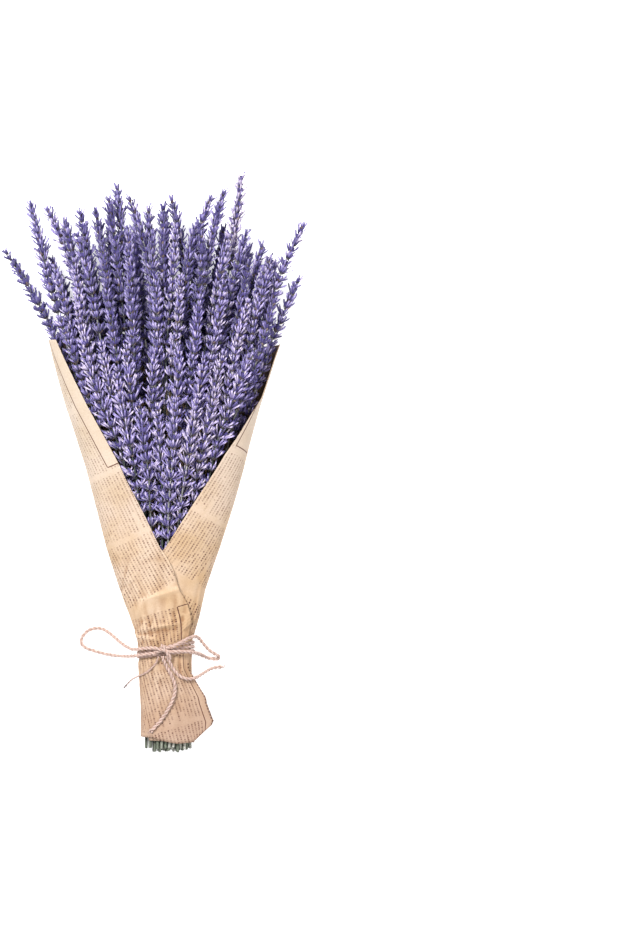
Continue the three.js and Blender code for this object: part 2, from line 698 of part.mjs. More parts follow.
// Free lengths of twine. Each route point is x, along, z, chosen by hand along the real strand.
const LOOP_LEFT_ROUTE = [
  [-5.5, 77.4, 31], [-11, 77.4, 29.6], [-17, 76.8, 26], [-22.5, 76.4, 20.6], [-27.5, 78.3, 14.6],
  [-33, 82, 8.8], [-39, 87, 4.6], [-45, 90.8, 2.2], [-51, 91.4, 1.4], [-56.5, 89.4, 1.4],
  [-60.4, 85, 1.4], [-61.4, 80.8, 1.4], [-58.6, 77.4, 1.4], [-53.4, 75.2, 1.4], [-47, 73.4, 2.2],
  [-40.4, 72, 4.6], [-34, 71.2, 9.2], [-28.2, 71, 15], [-22.8, 71.3, 20.8], [-16.8, 72.2, 26],
  [-11, 73.2, 29.6], [-5.5, 74, 31],
];
const LOOP_RIGHT_ROUTE = [
  [5.5, 78, 31], [10.5, 80.2, 29.8], [15.8, 83, 27.2], [20.8, 85.3, 22.8], [25, 85.2, 16.6],
  [28.2, 82, 12.8], [31.4, 77.9, 10.8], [34.4, 74.8, 9.8], [37.4, 72.9, 9.2], [40.2, 71.4, 8],
  [41, 69.6, 5.3], [39.3, 68.6, 2.5], [36.2, 68.8, 1.4], [33, 69.4, 2.1], [30.2, 70.6, 6.4],
  [27.2, 72.3, 14.6], [23.8, 73.5, 21.4], [18.4, 74.5, 27], [11.6, 75, 30.2], [5.5, 74.8, 31],
];
const TAIL_RIGHT_ROUTE = [
  [2.6, 71.2, 29.6], [4.4, 67.6, 28], [6.6, 63.4, 26.6], [9.2, 59.6, 26.2], [12.4, 56.6, 25.9],
  [16.2, 54.7, 25], [20.2, 54.4, 23], [24, 55.2, 19.8], [27.2, 56.8, 15.8], [30.2, 58.6, 11.6],
  [33.2, 60.4, 7.6], [36.4, 61.8, 4.2], [39.8, 62.6, 2], [43.6, 62.8, 1.4],
];
const TAIL_DOWN_ROUTE = [
  [-0.4, 71.2, 29.6], [0.9, 67.4, 28], [3, 62.8, 26.6], [5.6, 58.2, 26.3], [7.8, 53.4, 26.3],
  [8.9, 48.4, 26.4], [8.4, 43.4, 26.5], [6.8, 38.4, 26.6], [4.4, 33.4, 26.7], [1.6, 28.6, 26.8],
  [-1.8, 23.8, 26.6], [-5.6, 19.4, 26.2], [-9.4, 15.6, 25.4],
];
const STRAND_ROUTE = [
  [-3.4, 71, 29.2], [-5.2, 66.6, 27], [-8.6, 62.4, 25.6], [-12.4, 59.4, 24], [-16.6, 57.2, 21.2],
  [-20, 55.6, 15.6], [-22.6, 54.2, 10.6], [-24.8, 52.4, 6.2], [-27, 50, 2.8], [-29.6, 47.4, 1],
];
const STRAND_DIAMETER = 1.1;

const CORD_SIDES = 8;
const CORD_STEP = 2.4;         // in diameters

function cordGeometry(route, diameter) {
  const places = route.map(([x, along, z]) => new THREE.Vector3(x, along - ORIGIN_ALONG, z));
  const curve = new THREE.CatmullRomCurve3(places);
  const steps = Math.ceil(curve.getLength() / (CORD_STEP * diameter));
  const shape = new THREE.Shape();
  for (let i = 0; i < CORD_SIDES; i += 1) {
    const turn = (i / CORD_SIDES) * 2 * Math.PI;
    const x = (Math.cos(turn) * diameter) / 2;
    const y = (Math.sin(turn) * diameter) / 2;
    if (i === 0) shape.moveTo(x, y);
    else shape.lineTo(x, y);
  }
  shape.closePath();
  const tube = new THREE.ExtrudeGeometry(shape, { steps, bevelEnabled: false, extrudePath: curve });
  tube.deleteAttribute("normal");
  tube.deleteAttribute("uv");
  return facingOut(mergeVertices(tube, 1e-3));
}

// The knot: two crossed half turns, drawn together into one lump on top of the twine
const KNOT = { x: 0, along: 75.6, z: 31.2, halfWidth: 4.6, halfLength: 4, halfHeight: 2.4, skew: 1.2 };
const KNOT_GROOVE = 0.82;      // size of the knot in the grooves between its turns of twine

function knotGeometry() {
  const points = [];
  const faces = [];
  const stations = 9;
  const sides = 8;
  const middle = KNOT.along - ORIGIN_ALONG;
  for (let s = 1; s < stations; s += 1) {
    const across = -Math.cos((s / stations) * Math.PI);
    const swell = Math.sqrt(1 - across * across) * (s % 2 === 0 ? 1 : KNOT_GROOVE);
    for (let i = 0; i < sides; i += 1) {
      const turn = (i / sides) * 2 * Math.PI;
      points.push(new THREE.Vector3(
        KNOT.x + across * KNOT.halfWidth,
        middle + Math.cos(turn) * swell * KNOT.halfLength + across * KNOT.skew,
        KNOT.z + Math.sin(turn) * swell * KNOT.halfHeight,
      ));
    }
  }
  const left = points.length;
  const right = left + 1;
  points.push(new THREE.Vector3(KNOT.x - KNOT.halfWidth, middle - KNOT.skew, KNOT.z));
  points.push(new THREE.Vector3(KNOT.x + KNOT.halfWidth, middle + KNOT.skew, KNOT.z));
  for (let i = 0; i < sides; i += 1) {
    const n = (i + 1) % sides;
    faces.push([left, i, n]);
    for (let s = 0; s + 2 < stations; s += 1) {
      const a = s * sides;
      faces.push([a + i, a + sides + i, a + sides + n], [a + i, a + sides + n, a + n]);
    }
    const end = (stations - 2) * sides;
    faces.push([end + i, right, end + n]);
  }
  return meshOf(points, faces);
}

// The whole bunch
const lavenderFinish = new THREE.MeshStandardMaterial({ color: 0x8a80b4, roughness: 0.95, metalness: 0 });
const paperFinish = new THREE.MeshStandardMaterial({ color: 0xe9cfa0, roughness: 0.8, metalness: 0 });
const twineFinish = new THREE.MeshStandardMaterial({ color: 0xd9c6b8, roughness: 0.95, metalness: 0 });

const bunch = new THREE.Group();

function addPiece(name, geometry, finish) {
  const mesh = new THREE.Mesh(geometry, finish);
  mesh.name = name;
  bunch.add(mesh);
}

const spikes = listSpikes();
setCourses(spikes);
pressTogether(spikes);

let stemNumber = 0;
spikes.forEach((spike, i) => {
  if (spike.isShoot) return;
  stemNumber += 1;
  let geometry = spikeGeometry(spike, i);
  spikes.forEach((other, j) => {
    if (!other.isShoot || other.parent !== i) return;
    geometry = fromSolid(toSolid(geometry).add(toSolid(spikeGeometry(other, j))));
  });
  addPiece(`lavender_${String(stemNumber).padStart(2, "0")}`, geometry, lavenderFinish);
});

addPiece("paper_wrap", paperGeometry(), paperFinish);
addPiece("twine_turns", turnsGeometry(), twineFinish);
addPiece("twine_knot", knotGeometry(), twineFinish);
addPiece("twine_loop_left", cordGeometry(LOOP_LEFT_ROUTE, TWINE_DIAMETER), twineFinish);
addPiece("twine_loop_right", cordGeometry(LOOP_RIGHT_ROUTE, TWINE_DIAMETER), twineFinish);
addPiece("twine_tail_right", cordGeometry(TAIL_RIGHT_ROUTE, TWINE_DIAMETER), twineFinish);
addPiece("twine_tail_down", cordGeometry(TAIL_DOWN_ROUTE, TWINE_DIAMETER), twineFinish);
addPiece("twine_strand", cordGeometry(STRAND_ROUTE, STRAND_DIAMETER), twineFinish);

export default bunch;
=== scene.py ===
# %% [markdown]
# # A bunch of dried lavender in a paper wrap
# This lesson dresses a plain solid model of a lavender bunch: flower spikes of dried florets,
# a sheet of printed kraft paper rolled round them, and jute twine tied in a bow at the waist.
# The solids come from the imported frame. They give every stem, the wrap and the twine their place,
# and this script makes the fine surfaces that a camera sees.
#
# The bunch lies on its back. x runs across it, y runs along it towards the flowers, z points up.
# Shapes are worked out in millimetres and become metres where a mesh is made.

# %% Load the frame
import json
import math

import bpy
import numpy as np
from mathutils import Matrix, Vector

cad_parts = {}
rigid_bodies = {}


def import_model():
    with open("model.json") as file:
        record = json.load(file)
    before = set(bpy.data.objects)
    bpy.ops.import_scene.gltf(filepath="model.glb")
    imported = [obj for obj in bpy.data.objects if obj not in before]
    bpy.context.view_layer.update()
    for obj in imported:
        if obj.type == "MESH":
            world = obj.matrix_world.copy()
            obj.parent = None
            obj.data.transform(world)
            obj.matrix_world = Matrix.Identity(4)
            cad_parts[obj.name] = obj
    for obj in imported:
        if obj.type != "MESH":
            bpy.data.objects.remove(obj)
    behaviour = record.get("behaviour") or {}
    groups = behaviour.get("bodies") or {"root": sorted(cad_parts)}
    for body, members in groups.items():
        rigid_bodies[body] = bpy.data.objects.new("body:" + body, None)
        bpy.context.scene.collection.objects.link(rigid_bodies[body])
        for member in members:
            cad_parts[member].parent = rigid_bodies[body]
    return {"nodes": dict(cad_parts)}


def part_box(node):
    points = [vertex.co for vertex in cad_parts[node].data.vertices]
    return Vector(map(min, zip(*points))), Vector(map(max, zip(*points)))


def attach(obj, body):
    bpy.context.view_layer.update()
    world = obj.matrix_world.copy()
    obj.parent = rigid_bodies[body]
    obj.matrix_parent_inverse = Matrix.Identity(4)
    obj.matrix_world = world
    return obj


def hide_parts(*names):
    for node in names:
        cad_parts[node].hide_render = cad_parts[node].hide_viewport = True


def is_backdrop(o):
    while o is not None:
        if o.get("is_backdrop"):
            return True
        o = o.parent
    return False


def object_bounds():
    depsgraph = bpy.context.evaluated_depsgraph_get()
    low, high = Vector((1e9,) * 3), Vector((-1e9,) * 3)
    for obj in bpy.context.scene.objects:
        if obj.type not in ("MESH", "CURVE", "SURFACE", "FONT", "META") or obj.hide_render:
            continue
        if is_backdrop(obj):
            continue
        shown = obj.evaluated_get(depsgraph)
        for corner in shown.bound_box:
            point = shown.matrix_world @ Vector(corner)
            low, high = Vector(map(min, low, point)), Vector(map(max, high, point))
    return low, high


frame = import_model()
CAD_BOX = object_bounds()
MM = 0.001
print("nodes in the frame:", len(frame["nodes"]))

# %% [markdown]
# ## The camera
# The bunch is pictured from straight above, with hardly any perspective: nothing seems to lean
# outwards at the edges. A long lens a few metres away gives that look. An orthographic camera
# could do it too, but a real lens keeps the small differences in size that depth brings.
# One pixel of the picture is 0.7375 mm on the bunch, which sets the lens once the distance is chosen.

# %% Place the camera
PICTURE_WIDTH = 621
PICTURE_HEIGHT = 931
MM_PER_PIXEL = 0.7375
BUNCH_COLUMN = 163  # picture column of x = 0
CUT_END_ROW = 753  # picture row of the cut ends
ORIGIN_ALONG = 200  # the origin lies this far from the cut ends
CAMERA_DISTANCE = 5000
SENSOR = 36
MIDDLE_DEPTH = 30  # height of the bunch's middle, where the scale holds

centre_x = (PICTURE_WIDTH / 2 - BUNCH_COLUMN) * MM_PER_PIXEL
centre_y = (CUT_END_ROW - PICTURE_HEIGHT / 2) * MM_PER_PIXEL - ORIGIN_ALONG
camera_data = bpy.data.cameras.new("camera")
camera_data.sensor_width = SENSOR
camera_data.lens = SENSOR * CAMERA_DISTANCE / (PICTURE_HEIGHT * MM_PER_PIXEL)
camera = bpy.data.objects.new("camera", camera_data)
camera.location = (centre_x * MM, centre_y * MM, (CAMERA_DISTANCE + MIDDLE_DEPTH) * MM)
bpy.context.scene.collection.objects.link(camera)
bpy.context.scene.camera = camera
print("lens", round(camera_data.lens, 1), "mm")

# %% [markdown]
# ## Meshes from arrays
# Thousands of florets are quickest to make with numpy: each piece is a few arrays of points,
# triangles, texture coordinates and two painted numbers a point. "tone" varies from floret to
# floret, and "reach" runs from the root of a floret to its tip. The materials read both.

# %% Helpers that gather parts and turn them into one mesh
JOINED_ARRAYS = ("points", "slot", "uv", "tone", "reach")
SEAM_JUMP = 0.51  # a face whose u values lie further apart than this crosses the seam


def make_draw(seed):
    """Seeded draws between 0 and 1, the same every time."""
    state = seed

    def draw():
        nonlocal state
        state = (state * 1664525 + 1013904223) % 4294967296
        return state / 4294967296

    return draw


def part(points, faces, slot=0, uv=None, tone=0.5, reach=0.5):
    """One part of a piece, with all its arrays filled in."""
    count = len(points)
    return {
        "points": np.asarray(points, float),
        "faces": np.asarray(faces, int),
        "slot": np.full(len(faces), slot),
        "uv": np.zeros((count, 2)) if uv is None else np.asarray(uv, float),
        "tone": np.broadcast_to(np.asarray(tone, float), count),
        "reach": np.broadcast_to(np.asarray(reach, float), count),
    }


def join(parts):
    """All parts in one. Each part's faces count its points from where they start in the whole."""
    starts = np.cumsum([0] + [len(p["points"]) for p in parts[:-1]])
    joined = {key: np.concatenate([p[key] for p in parts]) for key in JOINED_ARRAYS}
    joined["faces"] = np.concatenate([p["faces"] + start for p, start in zip(parts, starts)])
    return joined


def quads(a, b, c, d):
    """Two triangles for each four-sided face with these corners."""
    return np.concatenate([np.stack(corners, -1).reshape(-1, 3) for corners in ((a, b, c), (a, c, d))])


def make_piece(name, parts, materials, replaced):
    """One object from its parts. It rides on the only body and stands for the replaced nodes."""
    whole = join(parts)
    mesh = bpy.data.meshes.new(name)
    mesh.vertices.add(len(whole["points"]))
    mesh.vertices.foreach_set("co", (whole["points"] * MM).astype(np.float32).ravel())
    corners = whole["faces"].ravel()
    mesh.loops.add(len(corners))
    mesh.loops.foreach_set("vertex_index", corners)
    mesh.polygons.add(len(whole["faces"]))
    mesh.polygons.foreach_set("loop_start", np.arange(len(whole["faces"])) * 3)
    mesh.polygons.foreach_set("material_index", whole["slot"])
    mesh.polygons.foreach_set("use_smooth", np.ones(len(whole["faces"]), bool))
    layer = mesh.uv_layers.new(name="surface")
    uv = whole["uv"][whole["faces"]]
    crosses_seam = np.ptp(uv[:, :, 0], axis=1) > SEAM_JUMP
    uv[crosses_seam, :, 0] += uv[crosses_seam, :, 0] < 0.5
    layer.data.foreach_set("uv", uv.astype(np.float32).ravel())
    for key in ("tone", "reach"):
        painted = mesh.attributes.new(key, "FLOAT", "POINT")
        painted.data.foreach_set("value", whole[key].astype(np.float32))
    mesh.update()
    for material in materials:
        mesh.materials.append(material)
    piece = bpy.data.objects.new(name, mesh)
    bpy.context.scene.collection.objects.link(piece)
    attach(piece, "root")
    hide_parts(*replaced)
    return piece


# %% [markdown]
# ## Materials
# Every finish is a small network of nodes. A helper adds a node and sets its sockets, so that a
# network reads from top to bottom like a recipe. A socket is named, or numbered as i0, i1 and so on.

# %% A helper for node networks
class Network:
    def __init__(self, name, roughness=0.8, **settings):
        self.material = bpy.data.materials.new(name)
        self.material.use_nodes = True
        self.tree = self.material.node_tree
        self.shader = self.tree.nodes["Principled BSDF"]
        self.shader.inputs["Roughness"].default_value = roughness
        for socket, value in settings.items():
            self.shader.inputs[socket.replace("_", " ")].default_value = value

    def add(self, kind, output=0, **sockets):
        node = self.tree.nodes.new("ShaderNode" + kind)
        for key, value in sockets.items():
            if hasattr(node, key):
                setattr(node, key, value)
                continue
            is_numbered = key[0] == "i" and key[1:].isdigit()
            socket = node.inputs[int(key[1:]) if is_numbered else key]
            if isinstance(value, bpy.types.NodeSocket):
                self.tree.links.new(value, socket)
            else:
                socket.default_value = value
        return node.outputs[output]

    def math(self, operation, first, second=0.0, third=0.0):
        return self.add("Math", operation=operation, i0=first, i1=second, i2=third)

    def times(self, *values):
        product = values[0]
        for value in values[1:]:
            product = self.math("MULTIPLY", product, value)
        return product

    def below(self, value, limit):
        return self.math("LESS_THAN", value, limit)

    def above(self, value, limit):
        return self.math("GREATER_THAN", value, limit)

    def ramp(self, value, stops):
        node = self.tree.nodes.new("ShaderNodeValToRGB")
        elements = node.color_ramp.elements
        while len(elements) < len(stops):
            elements.new(0.5)
        for element, (place, colour) in zip(elements, stops):
            element.position = place
            element.color = (*colour, 1)
        self.tree.links.new(value, node.inputs[0])
        return node.outputs[0]

    def mix(self, share, first, second, blend="MIX"):
        node = self.tree.nodes.new("ShaderNodeMix")
        node.data_type = "RGBA"
        node.blend_type = blend
        for socket, value in ((node.inputs[0], share), (node.inputs[6], first), (node.inputs[7], second)):
            if isinstance(value, bpy.types.NodeSocket):
                self.tree.links.new(value, socket)
            else:
                socket.default_value = value if isinstance(value, float) else (*value, 1)
        return node.outputs[2]

    def shade(self, colour, by):
        return self.mix(1.0, colour, by, "MULTIPLY")

    def painted(self, name):
        return self.add("Attribute", output=2, attribute_name=name)

    def noise(self, scale, detail=3.0, vector=None, roughness=0.5):
        node = self.tree.nodes.new("ShaderNodeTexNoise")
        node.inputs["Scale"].default_value = scale
        node.inputs["Detail"].default_value = detail
        node.inputs["Roughness"].default_value = roughness
        if vector is None:
            vector = self.add("TexCoord", output=3)
        self.tree.links.new(vector, node.inputs["Vector"])
        return node.outputs[0]

    def finish(self, colour, height=None, strength=0.3, distance=0.0002):
        self.tree.links.new(colour, self.shader.inputs["Base Color"])
        if height is not None:
            bump = self.add("Bump", Strength=strength, Distance=distance, Height=height)
            self.tree.links.new(bump, self.shader.inputs["Normal"])
        return self.material


LIGHT_LEVEL = 1.75  # the lamps show a surface this many times as bright as its own colour


def colour(red, green, blue):
    """A colour as the lit picture shows it, from 0 to 255, turned into the surface's own colour."""
    shown = [((c / 255 + 0.055) / 1.055) ** 2.4 for c in (red, green, blue)]  # the sRGB curve
    return tuple(c / LIGHT_LEVEL for c in shown)


# %% [markdown]
# The florets are woolly and dull. A dried calyx is nearly black at its foot, partly its own dark base
# and partly painted shade where the calyces crowd round the stem. It is pale lilac over most of its
# length and violet at its mouth, partly painted shade inside the cup. This keeps whorl apart from
# whorl. Ribs run along it. The dried petals are the most saturated colour, the bracts under each
# whorl are brown and papery, and the stems are grey-green where they are cut and greyer up in the
# flowers; their darker middle, inside the wrap and among the flowers, is partly painted shade.
# The lamps are strong enough to turn a white table pure white, so each colour is written down as
# the picture shows it, and "colour" divides it by the strength of the light.

# %% Lavender finishes
RIBS = 5  # pale ribs round a calyx


def calyx_finish():
    net = Network("calyx", roughness=0.85, Sheen_Weight=0.4, Sheen_Roughness=0.4)
    # reach runs from the foot (0) to the mouth and the cup's sunk middle (1). The near-black foot is partly
    # the calyx's own dark base and partly painted shade where calyces crowd round the stem; the violet at 1
    # is partly its own colour and partly painted shade inside the cup
    body = net.ramp(net.painted("reach"), [
        (0.0, (0.022, 0.015, 0.04)), (0.2, (0.09, 0.07, 0.17)), (0.42, (0.5, 0.45, 0.66)),
        (0.85, (0.86, 0.82, 0.95)), (1.0, (0.3, 0.25, 0.6)),
    ])
    # tone: a floret's colour, from dark violet over lilac to a dry and slightly warm white. Its dark low end
    # also carries painted shade, for the rear spikes and for the buds between the calyces
    tint = net.ramp(net.painted("tone"), [
        (0.0, (0.06, 0.045, 0.18)), (0.25, (0.21, 0.182, 0.385)), (0.5, (0.605, 0.56, 0.8)),
        (0.75, (1.0, 0.94, 0.99)), (1.0, (1.0, 0.95, 0.84)),
    ])
    shaded = net.shade(body, tint)
    surface = net.add("UVMap", uv_map="surface")
    split = net.add("SeparateXYZ", Vector=surface)
    ribs = net.math("SINE", net.times(split, 2 * math.pi * RIBS))
    rib_shade = net.math("MULTIPLY_ADD", ribs, 0.5, 0.5)
    grooves = net.ramp(rib_shade, [(0.3, (0.7, 0.66, 0.76)), (0.75, (1, 1, 1))])
    ribbed = net.shade(shaded, grooves)
    patches = net.ramp(net.noise(260, 2), [(0.36, (0.76, 0.74, 0.88)), (0.62, (1, 1, 1))])
    return net.finish(net.shade(ribbed, patches), ribs, 0.5, 0.0001)


def petal_finish():
    net = Network("petal", roughness=0.7)
    body = net.ramp(net.painted("tone"), [
        (0.0, colour(56, 44, 110)), (0.5, colour(104, 90, 184)), (1.0, colour(168, 154, 232)),
    ])
    creases = net.noise(2500, 3)
    dark_creases = net.ramp(creases, [(0.3, (0.7, 0.7, 0.7)), (0.7, (1, 1, 1))])
    return net.finish(net.shade(body, dark_creases), creases, 0.6, 0.0002)


def bract_finish():
    net = Network("bract", roughness=0.75)
    body = net.ramp(net.painted("tone"), [
        (0.0, colour(64, 48, 58)), (0.6, colour(124, 102, 104)), (1.0, colour(178, 156, 150)),
    ])
    return net.finish(body, net.noise(3000, 2), 0.4, 0.0001)


def stem_finish():
    net = Network("stem", roughness=0.7)
    # reach: 0 at the cut end, 1 in the flowers
    # the dark grey middle of this ramp, inside the wrap and among the flowers, is partly the stem's own grey
    # and partly painted shade
    body = net.ramp(net.painted("reach"), [
        (0.0, colour(255, 255, 236)), (0.006, colour(246, 250, 220)), (0.05, colour(214, 226, 190)),
        (0.2, colour(124, 130, 112)), (0.55, colour(104, 102, 108)), (1.0, colour(172, 162, 188)),
    ])
    tint = net.ramp(net.painted("tone"), [
        (0.0, colour(28, 44, 28)), (0.45, colour(102, 120, 96)), (1.0, colour(255, 252, 240)),
    ])
    streaks = net.noise(900, 3)
    shaded = net.mix(0.78, body, tint)
    dark_streaks = net.ramp(streaks, [(0.3, (0.55, 0.56, 0.58)), (0.7, (1, 1, 1))])
    return net.finish(net.shade(shaded, dark_streaks), streaks, 0.4, 0.0002)


LAVENDER_FINISHES = [calyx_finish(), petal_finish(), bract_finish(), stem_finish()]
CALYX, PETAL, BRACT, STEM = range(4)
print("lavender finishes:", [m.name for m in LAVENDER_FINISHES])

# %% [markdown]
# Jute is spun from pale, slightly shiny fibres. Fine lines run along each ply, and the pink-beige
# colour varies from one fibre to the next. The grooves between the plies lie in shade, so each point
# of a ply is painted with its distance from the middle of the twine, which gives the grooves painted shade.

# %% Twine finish
def twine_finish():
    net = Network("jute", roughness=0.8, Sheen_Weight=0.08)
    surface = net.add("UVMap", uv_map="surface")
    stretched = net.add("Mapping", Vector=surface, Scale=(26.0, 1.2, 1.0))
    fibres = net.noise(1.0, 4, stretched, 0.6)
    body = net.ramp(fibres, [
        (0.25, colour(226, 184, 166)), (0.45, colour(248, 214, 198)), (0.75, colour(264, 240, 228)),
    ])
    # tone: 0 in the groove between the plies, 1 on the outside; the low tones are painted shade
    groove_shade = net.ramp(net.painted("tone"), [
        (0.3, (0.46, 0.34, 0.3)), (0.66, (0.88, 0.8, 0.76)), (0.95, (1, 1, 1)),
    ])
    shaded = net.shade(body, groove_shade)
    # reach: 1 at an end that has gone dark
    dark_end = net.mix(net.painted("reach"), shaded, colour(80, 64, 66))
    return net.finish(dark_end, fibres, 0.7, 0.0003)


JUTE = twine_finish()

# %% [markdown]
# ## The twine
# This twine is two plies twisted round each other. A bent cylinder with a bump map would do from far
# away, but the outline of real twine is a row of small bulges, so each ply is modelled as a tube
# on a helix round the twine's centre line. The centre lines repeat the routes of the solid model.
# Fine fibres stand off the plies, more of them at a cut end, where the plies also come apart.
# The tip of the right loop is a turn that stands nearly on edge: seen from above it looks pinched,
# and yet the twine bends no more sharply than real twine can.

# %% Routes of the free lengths: x, distance from the cut ends, z
TWINE_DIAMETER = 2.2
STRAND_DIAMETER = 1.1
LOOP_LEFT_ROUTE = [
    [-5.5, 77.4, 31], [-11, 77.4, 29.6], [-17, 76.8, 26], [-22.5, 76.4, 20.6], [-27.5, 78.3, 14.6],
    [-33, 82, 8.8], [-39, 87, 4.6], [-45, 90.8, 2.2], [-51, 91.4, 1.4], [-56.5, 89.4, 1.4],
    [-60.4, 85, 1.4], [-61.4, 80.8, 1.4], [-58.6, 77.4, 1.4], [-53.4, 75.2, 1.4], [-47, 73.4, 2.2],
    [-40.4, 72, 4.6], [-34, 71.2, 9.2], [-28.2, 71, 15], [-22.8, 71.3, 20.8], [-16.8, 72.2, 26],
    [-11, 73.2, 29.6], [-5.5, 74, 31],
]
LOOP_RIGHT_ROUTE = [
    [5.5, 78, 31], [10.5, 80.2, 29.8], [15.8, 83, 27.2], [20.8, 85.3, 22.8], [25, 85.2, 16.6],
    [28.2, 82, 12.8], [31.4, 77.9, 10.8], [34.4, 74.8, 9.8], [37.4, 72.9, 9.2], [40.2, 71.4, 8],
    [41, 69.6, 5.3], [39.3, 68.6, 2.5], [36.2, 68.8, 1.4], [33, 69.4, 2.1], [30.2, 70.6, 6.4],
    [27.2, 72.3, 14.6], [23.8, 73.5, 21.4], [18.4, 74.5, 27], [11.6, 75, 30.2], [5.5, 74.8, 31],
]
TAIL_RIGHT_ROUTE = [
    [2.6, 71.2, 29.6], [4.4, 67.6, 28], [6.6, 63.4, 26.6], [9.2, 59.6, 26.2], [12.4, 56.6, 25.9],
    [16.2, 54.7, 25], [20.2, 54.4, 23], [24, 55.2, 19.8], [27.2, 56.8, 15.8], [30.2, 58.6, 11.6],
    [33.2, 60.4, 7.6], [36.4, 61.8, 4.2], [39.8, 62.6, 2], [43.6, 62.8, 1.4],
]
TAIL_DOWN_ROUTE = [
    [-0.4, 71.2, 29.6], [0.9, 67.4, 28], [3, 62.8, 26.6], [5.6, 58.2, 26.3], [7.8, 53.4, 26.3],
    [8.9, 48.4, 26.4], [8.4, 43.4, 26.5], [6.8, 38.4, 26.6], [4.4, 33.4, 26.7], [1.6, 28.6, 26.8],
    [-1.8, 23.8, 26.6], [-5.6, 19.4, 26.2], [-9.4, 15.6, 25.4],
]
STRAND_ROUTE = [
    [-3.4, 71, 29.2], [-5.2, 66.6, 27], [-8.6, 62.4, 25.6], [-12.4, 59.4, 24], [-16.6, 57.2, 21.2],
    [-20, 55.6, 15.6], [-22.6, 54.2, 10.6], [-24.8, 52.4, 6.2], [-27, 50, 2.8], [-29.6, 47.4, 1],
]


# %% A smooth line through a route, and the directions across it
STEPS_IN_STRETCH = 24  # between two points of a route, before the line is divided evenly
TUBE_TIP = 0.4  # how far a tube's end bulges, as a share of its radius


def smooth_line(route, step):
    """A centripetal Catmull-Rom line through the route, in even steps."""
    places = np.array([[x, along - ORIGIN_ALONG, z] for x, along, z in route], float)
    ends = np.vstack([2 * places[0] - places[1], places, 2 * places[-1] - places[-2]])
    gaps = np.sqrt(np.linalg.norm(np.diff(ends, axis=0), axis=1))
    share = np.linspace(0, 1, STEPS_IN_STRETCH, endpoint=False)[:, None]
    pieces = []
    for i in range(len(places) - 1):
        p0, p1, p2, p3 = ends[i:i + 4]
        g0, g1, g2 = gaps[i:i + 3]
        start = g1 * ((p1 - p0) / g0 - (p2 - p0) / (g0 + g1) + (p2 - p1) / g1)
        end = g1 * ((p2 - p1) / g1 - (p3 - p1) / (g1 + g2) + (p3 - p2) / g2)
        third = 2 * p1 - 2 * p2 + start + end
        second = -3 * p1 + 3 * p2 - 2 * start - end
        pieces.append(p1 + share * (start + share * (second + share * third)))
    line = np.vstack([*pieces, places[-1:]])
    return even_line(line, step)


def run_along(line):
    """How far along a line each of its points lies."""
    return np.concatenate([[0], np.cumsum(np.linalg.norm(np.diff(line, axis=0), axis=1))])


def even_line(line, step):
    """The same line with its points about one step apart."""
    run = run_along(line)
    at = np.linspace(0, run[-1], max(2, int(round(run[-1] / step)) + 1))
    return np.stack([np.interp(at, run, line[:, k]) for k in range(3)], -1)


def line_length(line):
    return float(np.linalg.norm(np.diff(line, axis=0), axis=1).sum())


def unit(vectors):
    return vectors / (np.linalg.norm(vectors, axis=-1, keepdims=True) + 1e-12)


def carried_frame(line, closed=False):
    """Two directions across the line at each point, carried along it without twisting."""
    if closed:
        ahead = unit(np.roll(line, -1, axis=0) - np.roll(line, 1, axis=0))
    else:
        ahead = unit(np.gradient(line, axis=0))
    first = np.cross(ahead[0], [0, 0, 1.0])
    if np.linalg.norm(first) < 0.1:
        first = np.cross(ahead[0], [1.0, 0, 0])
    across = [unit(first)]
    for direction in ahead[1:]:
        carried = across[-1] - direction * (across[-1] @ direction)
        across.append(unit(carried))
    across = np.array(across)
    return ahead, across, np.cross(ahead, across)


def tube(line, radius, sides, closed=False, slot=0, tone=0.5, reach=0.5):
    """A closed tube round a line. The radius may change from point to point."""
    ahead, across, over = carried_frame(line, closed)
    count = len(line)
    radii = np.broadcast_to(np.asarray(radius, float), count)[:, None, None]
    turn = np.linspace(0, 2 * np.pi, sides, endpoint=False)
    ring = np.cos(turn)[None, :, None] * across[:, None] + np.sin(turn)[None, :, None] * over[:, None]
    points = (line[:, None] + radii * ring).reshape(-1, 3)
    run = run_along(line)
    uv = np.stack(np.broadcast_arrays((turn / (2 * np.pi))[None], run[:, None]), -1).reshape(-1, 2)
    rows = count if closed else count - 1
    row, side = np.meshgrid(np.arange(rows), np.arange(sides), indexing="ij")
    after = (row + 1) % count
    beside = (side + 1) % sides
    a, b = row * sides + side, row * sides + beside
    c, d = after * sides + beside, after * sides + side
    faces = quads(a, b, c, d)
    reach = np.repeat(np.broadcast_to(np.asarray(reach, float), count), sides)
    if not closed:
        first_tip = line[0] - ahead[0] * radii[0, 0] * TUBE_TIP
        last_tip = line[-1] + ahead[-1] * radii[-1, 0] * TUBE_TIP
        points = np.vstack([points, first_tip, last_tip])
        uv = np.vstack([uv, [[0.5, 0], [0.5, run[-1]]]])
        reach = np.concatenate([reach, [reach[0], reach[-1]]])
        first, last = count * sides, count * sides + 1
        i = np.arange(sides)
        n = (i + 1) % sides
        end = (count - 1) * sides
        faces = np.vstack([
            faces,
            np.stack([np.full(sides, first), n, i], -1),
            np.stack([np.full(sides, last), end + i, end + n], -1),
        ])
    return part(points, faces, slot, uv, tone, reach)


